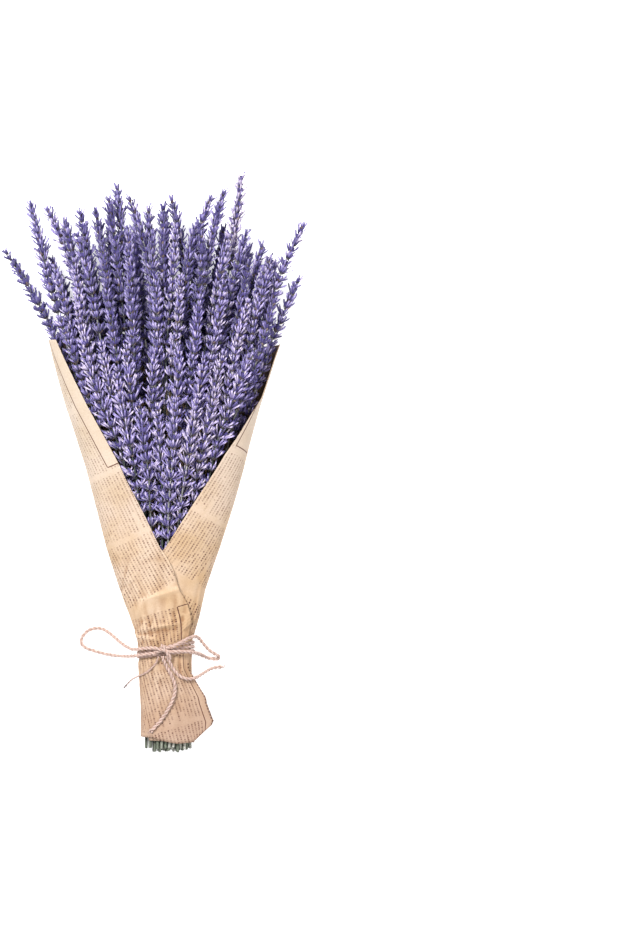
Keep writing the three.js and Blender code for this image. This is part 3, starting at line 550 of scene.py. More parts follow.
# %% Plies twisted round a line, with loose fibres
PLY_COUNT = 2
LAY = 7.0  # one full twist of the plies
PLY_RADIUS = 0.35  # of a ply, in diameters of the twine
PLY_FROM_MIDDLE = 0.27  # from the twine's middle to a ply's middle, in diameters
PLY_SIDES = 8
SPLAY_LENGTH = 6  # the plies come apart over this length at an end
DARK_LENGTH = 9
PLY_TONE = 0.8  # of the fibres and of a ply's two end points
FIBRES_PER_MM = 1.3
FIBRE_RADIUS = 0.05
FIBRE_LENGTHS = (2.0, 5.0)
FIBRE_POINTS = 4
FIBRE_ROOT = 0.42  # where a fibre starts, in diameters from the twine's middle
END_FIBRE_ROOT = 0.25  # and one that sticks out of a cut end
FIBRE_OUTWARD = (0.15, 0.6)  # how much it heads outward
FIBRE_BEND = 0.28  # how much it bends, as a share of its length
END_FIBRE_REACH = 1.25  # the fibres at a cut end reach this many times as far
FIBRE_REACH = 1.15  # how far the fibres stand off the line, in diameters
FIBRE_MARGIN = 7  # none start this near to the line's ends, in points
FIBRE_SPAN = 8  # points of the line on either side that a fibre can lie along
LOWEST_TWINE = 0.1  # above the table
rng = np.random.default_rng(31)


def plies(line, diameter, closed=False, splay=0, dark_end=False):
    """The plies of a twine. splay opens them at the line's end, in millimetres."""
    ahead, across, over = carried_frame(line, closed)
    run = run_along(line)
    total = run[-1] + (np.linalg.norm(line[0] - line[-1]) if closed else 0)
    lay = total / max(1, round(total / LAY)) if closed else LAY
    opened = splay * np.clip(1 - (run[-1] - run) / SPLAY_LENGTH, 0, 1) ** 2
    reach = np.zeros(len(line))
    if dark_end:
        reach = np.clip((run - run[-1] + DARK_LENGTH) / DARK_LENGTH, 0, 1)
    twist = 0.0
    if closed:  # the carried frame doesn't meet itself, so the plies make up the difference
        last = across[-1] - ahead[0] * (across[-1] @ ahead[0])
        twist = math.atan2(float(last @ over[0]), float(last @ across[0]))
    parts = []
    for k in range(PLY_COUNT):
        turn = 2 * np.pi * (run / lay + k / PLY_COUNT) - twist * run / max(total, 1e-9)
        out = (PLY_FROM_MIDDLE * diameter + opened)[:, None]
        centre = line + out * (np.cos(turn)[:, None] * across + np.sin(turn)[:, None] * over)
        # no ply is evenly thick
        wobble = 1 + 0.1 * np.sin(run * 1.7 + 2.1 * k) + 0.06 * np.sin(run * 4.3 + k)
        ply = tube(centre, PLY_RADIUS * diameter * wobble, PLY_SIDES, closed, reach=reach)
        # a point's distance from the twine's middle becomes its tone, which the jute finish turns into
        # painted shade in the grooves
        from_middle = np.linalg.norm(
            ply["points"][:len(line) * PLY_SIDES].reshape(len(line), PLY_SIDES, 3) - line[:, None], axis=-1
        )
        outermost = (PLY_RADIUS + PLY_FROM_MIDDLE) * diameter + opened[:, None]
        tone = np.full(len(ply["points"]), PLY_TONE)
        tone[:from_middle.size] = np.clip(from_middle / outermost, 0, 1).ravel()
        ply["tone"] = tone
        parts.append(ply)
    return parts


def fibres(line, diameter, ends=0):
    """Fine fibres that stand off the twine; some more stick out past its end."""
    ahead, across, over = carried_frame(line)
    parts = []
    total = line_length(line)
    for k in range(int(total * FIBRES_PER_MM) + ends):
        at_end = k < ends
        i = len(line) - 1 if at_end else rng.integers(FIBRE_MARGIN, len(line) - FIBRE_MARGIN)
        turn = rng.uniform(0, 2 * np.pi)
        out = np.cos(turn) * across[i] + np.sin(turn) * over[i]
        lean = rng.uniform(-1, 1)
        size = rng.uniform(*FIBRE_LENGTHS)
        heading = unit(ahead[i] * (1.0 if at_end else lean) + out * rng.uniform(*FIBRE_OUTWARD))
        t = np.linspace(0, 1, FIBRE_POINTS)[:, None]
        bend = unit(rng.normal(size=3)) * size * FIBRE_BEND
        start = line[i] + out * diameter * (END_FIBRE_ROOT if at_end else FIBRE_ROOT)
        strand = start + heading * t * size + bend * t * t * 0.5
        # no point of a fibre stands further off the twine than the limit
        nearby = line[max(0, i - FIBRE_SPAN):i + FIBRE_SPAN + 1]
        nearest = np.linalg.norm(strand[:, None] - nearby, axis=-1).argmin(axis=1)
        away = strand - nearby[nearest]
        far = np.linalg.norm(away, axis=1, keepdims=True)
        limit = FIBRE_REACH * diameter * (END_FIBRE_REACH if at_end else 1)
        strand -= away * np.clip(1 - limit / np.maximum(far, 1e-6), 0, 1)
        parts.append(tube(strand, FIBRE_RADIUS, 3, tone=PLY_TONE, reach=0.0))
    return parts


def twine_piece(name, parts, replaced):
    for made in parts:
        made["points"][:, 2] = np.maximum(made["points"][:, 2], LOWEST_TWINE)
    return make_piece(name, parts, [JUTE], [replaced])


# %% Make the loops, the tails and the thin strand
TWINE_STEP = 0.7


def make_cord(name, route, diameter, splay=0, tuft=0, dark_end=False):
    line = smooth_line(route, TWINE_STEP)
    parts = plies(line, diameter, splay=splay, dark_end=dark_end) + fibres(line, diameter, ends=tuft)
    piece = twine_piece(name + "_jute", parts, name)


make_cord("twine_loop_left", LOOP_LEFT_ROUTE, TWINE_DIAMETER)
make_cord("twine_loop_right", LOOP_RIGHT_ROUTE, TWINE_DIAMETER)
make_cord("twine_tail_right", TAIL_RIGHT_ROUTE, TWINE_DIAMETER, splay=0.5, tuft=26)
make_cord("twine_tail_down", TAIL_DOWN_ROUTE, TWINE_DIAMETER, splay=0.35, tuft=14)
make_cord("twine_strand", STRAND_ROUTE, STRAND_DIAMETER, tuft=5, dark_end=True)

# %% [markdown]
# ## The wrap's shape
# The paper is a cone that is squeezed flat underneath. Its section at any distance along the bunch
# is a superellipse, which is an ellipse with fuller corners. The same rows of sizes shaped the solid
# model, so the fine sheet lies exactly where the solid sheet does.

# %% Sizes of the wrap, and a point on its outside
TIE_ALONG = 75
RIM_ALONG = 304
FLAP_CROSSING_ALONG = 151
PAPER_THICKNESS = 0.7  # of the solid model's sheet
FLAP_STEP = 1.3  # the outer flap lies this far outside the inner flap
SECTION_POWER = 2.3
FLAT_PRESS = 1.12  # the section is pressed flat underneath by cutting this much of it off
STEP_ANGLES = (88, 124)  # the outer flap rises to its step between these angles
OUTWARD_STEP = 1.5  # degrees
WRAP_ROWS = np.array([
    # along, left edge, right edge, half depth, lift of the underside
    [0, -17.2, 23.4, 11.8, 0.8],
    [30, -16.8, 22.2, 11.5, 0.8],
    [50, -17.8, 21.4, 11, 1.2],
    [66, -18.6, 20.7, 10.5, 3.1],
    [84, -19, 21.6, 10.6, 3.1],
    [100, -24.8, 26.4, 12.4, 1.2],
    [120, -32.5, 30.8, 14.2, 0],
    [151, -42, 42, 17.4, 0],
    [210, -57, 60, 24, 0],
    [255, -71.5, 71.5, 28.5, 0],
    [306, -85, 87.5, 33, 0],
])
# how far each flap reaches round from the middle of the back: distance from the cut ends, degrees
LEFT_FLAP_ROWS = np.array([
    [0, 220], [36, 225], [50, 236], [75, 238], [95, 228], [110, 214], [120, 200],
    [151, 178.5], [200, 154], [250, 135], [306, 114],
])
RIGHT_FLAP_ROWS = np.array([
    [0, 220], [100, 220], [120, 205], [151, 178.8], [220, 143], [270, 112], [306, 94],
])
# the fine sheet's right flap is a little narrower towards the rim than the solid wrap's
FINE_RIGHT_FLAP_ROWS = np.array([
    [0, 220], [100, 220], [120, 205], [151, 178.8], [175, 163.5], [200, 148], [220, 136], [250, 113],
    [263, 98], [306, 94],
])


def between(rows, at, column=1):
    return np.interp(at, rows[:, 0], rows[:, column])


def wrap_section(along):
    left, right, half_depth, lift = (between(WRAP_ROWS, along, k) for k in (1, 2, 3, 4))
    return (left + right) / 2, (right - left) / 2, half_depth, lift + half_depth, lift


def point_on(section, angle):
    """The point at an angle round a section. 0 is the middle of the back, and left is positive."""
    middle, half_width, half_depth, centre, _ = section
    turn = np.radians(angle)
    power = 2 / SECTION_POWER
    across = np.sign(np.sin(turn)) * np.abs(np.sin(turn)) ** power
    upright = -np.sign(np.cos(turn)) * np.abs(np.cos(turn)) ** power
    pressed = np.where(upright < 0, np.maximum(-1, upright * FLAT_PRESS), upright)
    return np.stack(np.broadcast_arrays(middle - half_width * across, centre + half_depth * pressed), -1)


def outward_on(section, angle):
    """The direction straight out of a section at an angle, from two points close to it."""
    run = point_on(section, angle + OUTWARD_STEP) - point_on(section, angle - OUTWARD_STEP)
    return unit(np.stack([-run[..., 1], run[..., 0]], -1))


def smooth_step(value, low, high):
    share = np.clip((value - low) / (high - low), 0, 1)
    return share * share * (3 - 2 * share)


def flap_step(angle):
    """How far the outer flap lies outside the inner one."""
    return FLAP_STEP * smooth_step(angle, *STEP_ANGLES)


# %% [markdown]
# ## Where every stem goes
# The stems are crowded at the tie and fan out to their tips. No table holds their places: each
# spike wishes for a course, and then all of them are pressed against each other and the wrap
# until none overlap, the way a real bunch settles when it is tied. The rules and the seeded draws
# are those of the solid model, so both give the same courses, and a check at the end says so.

# %% Wished places of the flower tips
OUTLINE_SPIKES = [
    # tip x, tip along, x and along of a point lower on the stem, length of the spike
    [-84, 311, -70, 270, 34], [-118, 372, -78, 303, 78], [-97, 406, -87, 362, 74],
    [-86, 403, -70, 370, 70], [-72, 394, -60, 350, 74], [-61, 400, -52, 355, 76],
    [-65, 384, -54, 330, 66], [-50, 402, -42, 352, 78], [-40, 410, -33, 360, 80],
    [-34, 419, -29, 370, 80], [-25, 411, -9.5, 365, 76], [-11, 403, -9, 350, 72],
    [0, 404, -1, 350, 70], [6, 410, 11, 390, 76], [24, 389, 17, 345, 72],
    [36, 410, 22, 368, 80], [45, 415, 35, 375, 74], [58, 426, 52, 382, 72],
    [62, 385, 50, 340, 68], [74, 376, 62, 330, 70], [79, 366, 68, 325, 66],
    [84, 350, 74, 310, 64], [104, 391, 81, 343, 80], [101, 351, 84, 313, 62],
]
SPIKE_ROWS = [
    # depth, count, first and last tip x, tip along in the middle and at the sides, length, shoots
    (0.94, 6, -36, 42, 254, 276, 88, 0),
    (0.72, 8, -64, 70, 298, 296, 86, 1),
    (0.5, 10, -80, 84, 346, 330, 84, 1),
    (0.28, 10, -80, 84, 386, 360, 82, 1),
    (-0.34, 9, -84, 86, 397, 368, 78, 2),
    (-0.6, 9, -78, 80, 374, 348, 74, 2),
    (-0.88, 6, -52, 54, 348, 334, 68, 2),
]
ROWS_IN_FRONT = 4
OUTLINE_DEPTHS = [0.08, -0.12]
DEPTH_ROWS_AT_TIE = 9
TIP_SCATTER_ALONG = 16
TIP_SCATTER_ACROSS = 5
LENGTH_SCATTER = 0.12  # of the spikes' lengths, as a share


class Spike:
    """One flower spike and the stem, or side shoot, that carries it."""

    def __init__(self, row, depth, tip_x, tip_along, length, parent=-1, is_shoot=False, via=None):
        self.row = row
        self.depth = depth
        self.tip_x = tip_x
        self.tip_along = tip_along
        self.length = length
        self.parent = parent
        self.is_shoot = is_shoot
        self.via = via
        self.root_along = 0.0


def parent_step(shoots, place):
    """Where a side shoot's own stem stands in its row; 0 for a spike on a stem of its own."""
    if shoots == 1 and place % 2 == 1:
        return -1
    if shoots == 2 and place % 3 == 0:
        return 1
    if shoots == 2 and place % 3 == 2:
        return -1
    return 0


def list_spikes():
    draw = make_draw(1207)
    spikes = []

    def add_row(row_number):
        depth, count, first, last, at_middle, at_sides, long, shoots = SPIKE_ROWS[row_number]
        middle = (count - 1) / 2
        for i in range(count):
            side = abs(i - middle) / middle
            arch = at_middle + (at_sides - at_middle) * side ** 2
            tip_along = arch + (draw() - 0.5) * TIP_SCATTER_ALONG
            tip_x = first + (last - first) * i / (count - 1) + (draw() - 0.5) * TIP_SCATTER_ACROSS
            length = long * (1 - LENGTH_SCATTER / 2 + LENGTH_SCATTER * draw())
            step = parent_step(shoots, i)
            parent = len(spikes) + step
            spikes.append(Spike(("row", row_number), depth, tip_x, tip_along, length, parent, step != 0))

    for row_number in range(ROWS_IN_FRONT):
        add_row(row_number)
    for i, (tip_x, tip_along, via_x, via_along, length) in enumerate(OUTLINE_SPIKES):
        depth = OUTLINE_DEPTHS[i % 2]
        spikes.append(Spike(("outline", i % 2), depth, tip_x, tip_along, length, via=(via_x, via_along)))
    for row_number in range(ROWS_IN_FRONT, len(SPIKE_ROWS)):
        add_row(row_number)
    return spikes


SPIKES = list_spikes()
print("spikes:", len(SPIKES), "on", sum(not s.is_shoot for s in SPIKES), "stems")

# %% Wished courses of the stems
LEVEL_STEP = 12.5
LEVEL_COUNT = 36
LEVELS = np.arange(LEVEL_COUNT) * LEVEL_STEP
STEM_ROOM = 1.6  # the radius that a bare stem keeps free
SPIKE_ROOM = 5.05  # and a flower spike
TIP_ROOM = 3.3
TIP_TAPER = 26  # a spike's room shrinks over this length at its tip
ROOM_BELOW_SPIKE = 6  # and it starts and ends this far beyond the flowers
ROOM_PAST_TIP = 2
WALL_ROOM = PAPER_THICKNESS + 0.5
OPEN_BULGE = 9  # the flowers may stand this much higher than the wrap where it is open
BEND_POWER = 4  # an outline stem bends mostly near its tip
FAN_POWER = 1.1  # and the others hardly bend
SPREAD_RATE = 1.5  # the depth rows are fully apart at this share of a stem's length
EDGE_ROOM_AT_TIE = 3
SHOOT_BELOW_SPIKE = 45  # a side shoot leaves its stem this far below its own spike
SHOOT_HIGHEST_ROOT = 215
DEPTH_GROWTH = 0.1  # past the rim the bunch grows deeper by this share of the distance
DEPTH_RISE = 0.04  # and its middle rises by this share
TIE_SECTION = wrap_section(TIE_ALONG)


def wished_course(spike):
    """The way that a stem would take with no neighbours: x, z and the room that it needs."""
    middle, half_width, half_depth, centre, _ = wrap_section(np.minimum(LEVELS, RIM_ALONG))
    tie_x = TIE_SECTION[0] + spike.tie_across * (TIE_SECTION[1] - EDGE_ROOM_AT_TIE)
    grown = np.maximum(0, LEVELS - RIM_ALONG)
    share = (LEVELS - TIE_ALONG) / (spike.tip_along - TIE_ALONG)
    straight = spike.tip_x - tie_x
    if spike.via:
        via = (spike.via[1] - TIE_ALONG) / (spike.tip_along - TIE_ALONG)
        bend = (spike.via[0] - tie_x - straight * via) / (via ** BEND_POWER - via)
        x = tie_x + straight * share + bend * (share ** BEND_POWER - share)
    else:
        x = tie_x + straight * np.maximum(share, 0) ** FAN_POWER
    x = np.where(LEVELS <= TIE_ALONG, middle + spike.tie_across * (half_width - EDGE_ROOM_AT_TIE), x)
    depth = spike.tie_depth + (spike.depth - spike.tie_depth) * np.clip(share * SPREAD_RATE, 0, 1)
    half = half_depth + DEPTH_GROWTH * grown - WALL_ROOM - STEM_ROOM
    z = centre + DEPTH_RISE * grown + depth * half
    to_tip = np.maximum(0, spike.tip_along - LEVELS)
    room = TIP_ROOM + (SPIKE_ROOM - TIP_ROOM) * np.minimum(1, to_tip / TIP_TAPER)
    room = np.where(LEVELS < spike.tip_along - spike.length - ROOM_BELOW_SPIKE, STEM_ROOM, room)
    room = np.where(LEVELS > spike.tip_along + ROOM_PAST_TIP, 0, room)
    slope = (x[2:] - x[:-2]) / (2 * LEVEL_STEP)
    room[1:-1] *= np.sqrt(1 + slope * slope)
    return x, z, room


def set_courses(spikes):
    """Gives every spike its place at the tie, then works out all the wished courses."""
    rows = {}
    for spike in spikes:
        rows.setdefault(spike.row, [])
        if not spike.is_shoot:
            rows[spike.row].append(spike)
    for number, row in enumerate(rows.values()):
        down = 1 - (2 * number + 1) / DEPTH_ROWS_AT_TIE
        for i, spike in enumerate(row):
            spike.tie_depth = down
            spike.tie_across = ((2 * i + 1) / len(row) - 1) * math.sqrt(1 - down * down)
    for spike in spikes:
        if spike.is_shoot:
            spike.root_along = min(spike.tip_along - spike.length - SHOOT_BELOW_SPIKE, SHOOT_HIGHEST_ROOT)
            spike.tie_depth = spikes[spike.parent].tie_depth
            spike.tie_across = spikes[spike.parent].tie_across
    return [np.array(a) for a in zip(*[wished_course(spike) for spike in spikes])]


WISH_X, WISH_Z, ROOM = set_courses(SPIKES)

# %% Press the stems together
PRESS_ROUNDS = 400
FIRST_SWELL = 0.3  # the rooms grow to full size over the first part of the rounds
SWELL_SHARE = 0.8
FIRST_PULL = 0.04  # pull of the wished courses, which dies out
STIFFNESS = (0.5, 0.08)  # of the stems in the first round and in the last
OUTLINE_HOLD = 4  # the outline spikes keep their places better than the others
FUSED_LENGTH = 30  # a shoot isn't pressed away from its own stem this near to its root
RIM_REACH = 8  # the wrap still holds the flowers this far past its rim
FLOOR_GAP = 0.4

IS_SHOOT = np.array([s.is_shoot for s in SPIKES])
IS_HELD = np.array([s.via is not None for s in SPIKES])
PARENT = np.array([s.parent for s in SPIKES])
ROOT = np.array([s.root_along for s in SPIKES])


def meeting_mask():
    """Which pairs of spikes push each other, at each level."""
    there = (ROOM.T > 0) & (~IS_SHOOT[None] | (LEVELS[:, None] > ROOT[None]))
    numbers = np.arange(len(SPIKES))
    own = IS_SHOOT[:, None] & (PARENT[:, None] == numbers[None])
    fused_until = np.where(own, ROOT[:, None] + FUSED_LENGTH, -np.inf)
    fused_until = np.maximum(fused_until, fused_until.T)
    twins = IS_SHOOT[:, None] & IS_SHOOT[None] & (PARENT[:, None] == PARENT[None])
    fused_until = np.where(twins, np.maximum(ROOT[:, None], ROOT[None]) + FUSED_LENGTH, fused_until)
    meet = there[:, :, None] & there[:, None, :] & (LEVELS[:, None, None] >= fused_until[None])
    return meet & (numbers[:, None] != numbers[None])[None]


def smooth_out(line, wish, stiffness):
    """Spreads a stem's departure from its wished course along it, as a stiff stem does."""
    moved = line - wish
    line[:, 1:-1] += stiffness * ((moved[:, :-2] + moved[:, 2:]) / 2 - moved[:, 1:-1])


SECTION_AT_LEVELS = wrap_section(np.minimum(LEVELS, RIM_ALONG))
IN_WRAP = LEVELS <= RIM_ALONG + RIM_REACH
LEFT_EDGE_X = point_on(wrap_section(LEVELS), between(LEFT_FLAP_ROWS, LEVELS))[:, 0]
RIGHT_EDGE_X = point_on(wrap_section(LEVELS), -between(RIGHT_FLAP_ROWS, LEVELS))[:, 0]


def keep_inside(x, z):
    """Moves the stems off the wrap's walls and the table. They may bulge out where it is open."""
    middle, half_width, half_depth, centre, lift = SECTION_AT_LEVELS
    room = np.maximum(STEM_ROOM, ROOM)
    floor = np.where(IN_WRAP, lift + WALL_ROOM, FLOOR_GAP) + room
    z[:] = np.maximum(z, floor)
    clear = np.minimum(x - LEFT_EDGE_X, RIGHT_EDGE_X - x) - room
    opened = np.where(LEVELS < FLAP_CROSSING_ALONG, 0, np.clip(clear / OPEN_BULGE, 0, 1))
    bulge = np.where(z > centre, OPEN_BULGE * opened, 0)
    share_x = np.abs(x - middle) / (half_width - WALL_ROOM - room)
    share_z = np.abs(z - centre) / (half_depth + bulge - WALL_ROOM - room)
    out = (share_x ** SECTION_POWER + share_z ** SECTION_POWER) ** (1 / SECTION_POWER)
    too_far = IN_WRAP & (out > 1)
    x[:] = np.where(too_far, middle + (x - middle) / out, x)
    z[:] = np.where(too_far, np.maximum(floor, centre + (z - centre) / out), z)


def spread_below_tie(x, z):
    """Below the tie the stems keep the order that they have at the tie."""
    middle, half_width, half_depth, centre, _ = SECTION_AT_LEVELS
    tie = int(TIE_ALONG / LEVEL_STEP)
    across = (x[:, tie:tie + 1] - middle[tie]) / half_width[tie]
    upright = (z[:, tie:tie + 1] - centre[tie]) / half_depth[tie]
    x[:, :tie] = middle[:tie] + across * half_width[:tie]
    z[:, :tie] = centre[:tie] + upright * half_depth[:tie]


def follow_parent(line):
    """Below its root a side shoot runs with its own stem."""
    own = np.clip((LEVELS[None] - ROOT[:, None]) / (LEVEL_STEP * 2), 0, 1)
    followed = line[PARENT] + own * (line - line[PARENT])
    line[:] = np.where(IS_SHOOT[:, None] & (own < 1), followed, line)


def press_together():
    x, z = WISH_X.copy(), WISH_Z.copy()
    meet = meeting_mask()
    rooms = ROOM.T[:, :, None] + ROOM.T[:, None, :]
    hold = np.where(IS_HELD[:, None] & (LEVELS > RIM_ALONG)[None], OUTLINE_HOLD, 1)
    for step in range(PRESS_ROUNDS):
        late = step / PRESS_ROUNDS
        swell = min(1, FIRST_SWELL + late / SWELL_SHARE)
        pull = FIRST_PULL * (1 - late) ** 2
        stiffness = STIFFNESS[0] + (STIFFNESS[1] - STIFFNESS[0]) * late
        apart_x = x.T[:, None, :] - x.T[:, :, None]
        apart_z = z.T[:, None, :] - z.T[:, :, None]
        distance = np.sqrt(apart_x ** 2 + apart_z ** 2) + 1e-6
        overlap = swell * rooms - distance
        half = np.where(meet & (overlap > 0), overlap * 0.5 / distance, 0)
        push_x = -(half * apart_x).sum(2).T
        push_z = -(half * apart_z).sum(2).T
        x += 0.5 / np.sqrt(hold) * push_x + pull * hold * (WISH_X - x)
        z += 0.5 * push_z + pull * 0.5 * (WISH_Z - z)
        smooth_out(x, WISH_X, stiffness)
        smooth_out(z, WISH_Z, stiffness)
        keep_inside(x, z)
        spread_below_tie(x, z)
        follow_parent(x)
        follow_parent(z)
    return x, z


COURSE_X, COURSE_Z = press_together()

# %% Points along a stem, and a check against the solid model
def stem_points(number, along):
    """Points of a stem at distances along it, on a smooth line through its levels."""
    at = np.clip(np.asarray(along, float) / LEVEL_STEP, 0, LEVEL_COUNT - 1.001)
    i = np.floor(at).astype(int)
    t = at - i

    def curve(line):
        ends = np.concatenate([[2 * line[0] - line[1]], line, [2 * line[-1] - line[-2]]])
        p0, p1, p2, p3 = ends[i], ends[i + 1], ends[i + 2], ends[i + 3]
        cubic = 2 * p0 - 5 * p1 + 4 * p2 - p3 + t * (3 * (p1 - p2) + p3 - p0)
        return p1 + 0.5 * t * (p2 - p0 + t * cubic)

    y = np.asarray(along, float) - ORIGIN_ALONG
    return np.stack([curve(COURSE_X[number]), y, curve(COURSE_Z[number])], -1)


def stem_frame(number, along):
    """Points of a stem, with the direction along it and two directions across it."""
    ahead = unit(stem_points(number, along + 2) - stem_points(number, along - 2))
    side = unit(np.cross(ahead, [0, 0, 1.0]))
    return stem_points(number, along), ahead, side, np.cross(side, ahead)


MAIN_NUMBERS = [i for i, s in enumerate(SPIKES) if not s.is_shoot]
worst = 0
for stem, number in enumerate(MAIN_NUMBERS):
    low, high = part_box(f"lavender_{stem + 1:02d}")
    tip = stem_points(number, np.array([SPIKES[number].tip_along]))[0]
    off = max(low.x / MM - tip[0], tip[0] - high.x / MM, tip[1] - high.y / MM, low.z / MM - tip[2])
    worst = max(worst, off)
print("furthest that a tip lies outside its solid stem's box:", round(worst, 3), "mm")

# %% [markdown]
# ## Sprouts
# Calyces, petals and bracts are all small closed shapes that leave the stem at a lean and curve up.
# One function makes hundreds of them at once. A profile gives each ring of the shape: its place
# along the sprout, its half width, its half thickness, and how far every other point stands out.
# The last ring is closed by a point. Where that point lies lower than the ring, the shape is a cup.

# %% Grow many sprouts from one profile
CALYX_PROFILE = np.array([
    [0.0, 0.2, 0.2, 0.0], [0.3, 0.42, 0.42, 0.0], [0.74, 0.56, 0.56, 0.0], [1.0, 0.46, 0.46, 0.34],
])
REAR_CALYX_PROFILE = np.array([[0.0, 0.3, 0.3, 0.0], [0.6, 0.6, 0.6, 0.0], [1.0, 0.45, 0.45, 0.3]])
CALYX_CLOSING = 0.82
BUD_PROFILE = np.array([[0.0, 0.5, 0.4, 0.0], [0.5, 1.35, 1.0, 0.0], [1.0, 0.9, 0.7, 0.2]])
BUD_CLOSING = 0.9
PETAL_PROFILE = np.array([[0.0, 0.32, 0.3, 0.0], [0.5, 0.6, 0.4, 0.15], [1.0, 1.05, 0.5, 0.6]])
PETAL_CLOSING = 0.62
BRACT_PROFILE = np.array([[0.0, 0.5, 0.2, 0.0], [0.4, 1.45, 0.12, 0.0], [0.9, 0.4, 0.08, 0.0]])
BRACT_CLOSING = 1.04


def sprout_line(where, share):
    """The centre line of each sprout at a share of its length, and its heading there."""
    start, end = where["lean"]
    turn = np.where(np.abs(end - start) < 1e-3, 1e-3, end - start)
    lean = start + turn * share
    along = (np.sin(lean) - np.sin(start)) / turn
    outward = (np.cos(start) - np.cos(lean)) / turn
    long = where["length"]
    place = where["base"] + (long * along)[:, None] * where["axis"] + (long * outward)[:, None] * where["out"]
    heading = np.cos(lean)[:, None] * where["axis"] + np.sin(lean)[:, None] * where["out"]
    return place, heading


def sprouts(where, profile, closing, sides, slot):
    """Many sprouts in one part. "owner" tells which sprout each point belongs to."""
    count, rings = len(where["base"]), len(profile)
    turn = np.arange(sides) * 2 * np.pi / sides
    every_other = np.where(np.arange(sides) % 2 == 0, 1.0, -1.0)
    side = unit(np.cross(where["axis"], where["out"]))
    points = np.zeros((count, rings * sides + 1, 3))
    for j, (share, wide, thick, tooth) in enumerate(profile):
        place, heading = sprout_line(where, share)
        over = np.cross(side, heading)
        size = where["width"][:, None, None]
        ring = np.cos(turn)[None, :, None] * side[:, None] * wide
        ring = ring + np.sin(turn)[None, :, None] * over[:, None] * thick
        ring = ring + every_other[None, :, None] * heading[:, None] * tooth
        points[:, j * sides:(j + 1) * sides] = place[:, None] + ring * size
    points[:, -1] = sprout_line(where, closing)[0]
    k = np.arange(sides)
    n = (k + 1) % sides
    faces = []
    for j in range(rings - 1):
        low, high = j * sides, (j + 1) * sides
        faces.append(quads(low + k, low + n, high + n, high + k))
    last = (rings - 1) * sides
    faces.append(np.stack([last + k, last + n, np.full(sides, rings * sides)], -1))
    faces.append(np.stack([np.zeros(sides - 2, int), k[2:], k[1:-1]], -1))
    faces = np.concatenate(faces)
    size = rings * sides + 1
    every = (faces[None] + (np.arange(count) * size)[:, None, None]).reshape(-1, 3)
    reach = np.append(np.repeat(profile[:, 0], sides), 1.0)
    u = np.append(np.tile(k / sides, rings), 0.5)
    uv = np.stack([np.tile(u, count), np.tile(reach, count)], -1)
    tone = np.repeat(where["tone"], size)
    made = part(points.reshape(-1, 3), every, slot, uv, tone, np.tile(reach, count))
    made["owner"] = np.repeat(np.arange(count), size)
    return made


# %% [markdown]
# A stem is a six-sided tube, thinner up in the flowers and a little uneven. Its cut end shows the
# pale inside, and a second ring of points close behind the first keeps that colour at the end.

# %% The stem of a spike
# distance from the cut ends, radius: the ends are thinner than the solid stems, so that they show apart
STEM_ROWS = np.array([[0, 1.0], [12, 1.1], [30, 1.52], [100, 1.52], [170, 1.2]])
SHOOT_RADIUS = 0.8
BARE_RADIUS = 0.6  # a stem thins to this above the wrap's middle
TOP_RADIUS = 0.42
THINNING = (120, 168)  # the stems get thin between these distances from the cut ends
RADIUS_SCATTER = 0.025  # of a stem's radius, as a share
ROOT_DEPTH = 3  # a side shoot starts this far inside its stem
CUT_SCATTER = 4  # the stems are cut off within this distance of each other
CUT_RING = 0.7  # a ring this near to the cut end keeps its rim sharp
FIRST_RING = 4
LAST_RING = 2  # the last ring stays this far below the tip
STEM_STEP = 7.0
STEM_SIDES = 6
COLOUR_LENGTH = 300  # a stem's colour runs from green to grey over this length
SHOOT_COLOUR = 0.3  # and a side shoot starts this far along it
CUT_RING_COLOUR = 0.012


def stem_part(number):
    spike = SPIKES[number]
    draw = make_draw(500 + number)
    draw()  # the solid model's first draw is the spike's twist
    cut = spike.root_along - ROOT_DEPTH if spike.is_shoot else draw() * CUT_SCATTER
    rings = np.arange(cut + FIRST_RING, spike.tip_along - LAST_RING, STEM_STEP)
    along = np.append([cut, cut + CUT_RING], rings)
    radius = np.full(len(along), SHOOT_RADIUS) if spike.is_shoot else between(STEM_ROWS, along)
    radius = radius + (BARE_RADIUS - radius) * smooth_step(along, *THINNING)
    in_spike = np.clip((along - spike.tip_along + spike.length) / spike.length, 0, 1)
    radius = radius - (BARE_RADIUS - TOP_RADIUS) * in_spike
    draws = np.random.default_rng(7000 + number)
    radius = radius * (1 + draws.normal(0, RADIUS_SCATTER, len(along)))
    reach = np.clip(along / COLOUR_LENGTH, SHOOT_COLOUR if spike.is_shoot else 0, 1)
    if not spike.is_shoot:
        reach[:2] = 0.0, CUT_RING_COLOUR
    tone = draws.uniform(0, 1)
    return tube(stem_points(number, along), radius, STEM_SIDES, slot=STEM, tone=tone, reach=reach)


# %% [markdown]
# A lavender spike carries its flowers in whorls. Each whorl is two clusters on opposite sides of
# the stem over a pair of brown bracts, and each whorl is turned a quarter against the one below.
# The whorls stand far apart at the foot of the spike and close together at its tip. Two or three
# lone whorls follow below the foot. The outer spikes at the right carry nine of them, close
# together, because there the flowers hang over the paper's rim. A calyx first leans out and then
# curves up, so that an open whorl looks like a little cup.
# Short dark buds sit between the calyces and hide the stem; their dark tone is painted shade for the
# gaps between the calyces. At the rear they are broad and more, so that little of the table shows
# through the bunch, but near the tips they are small and pale.

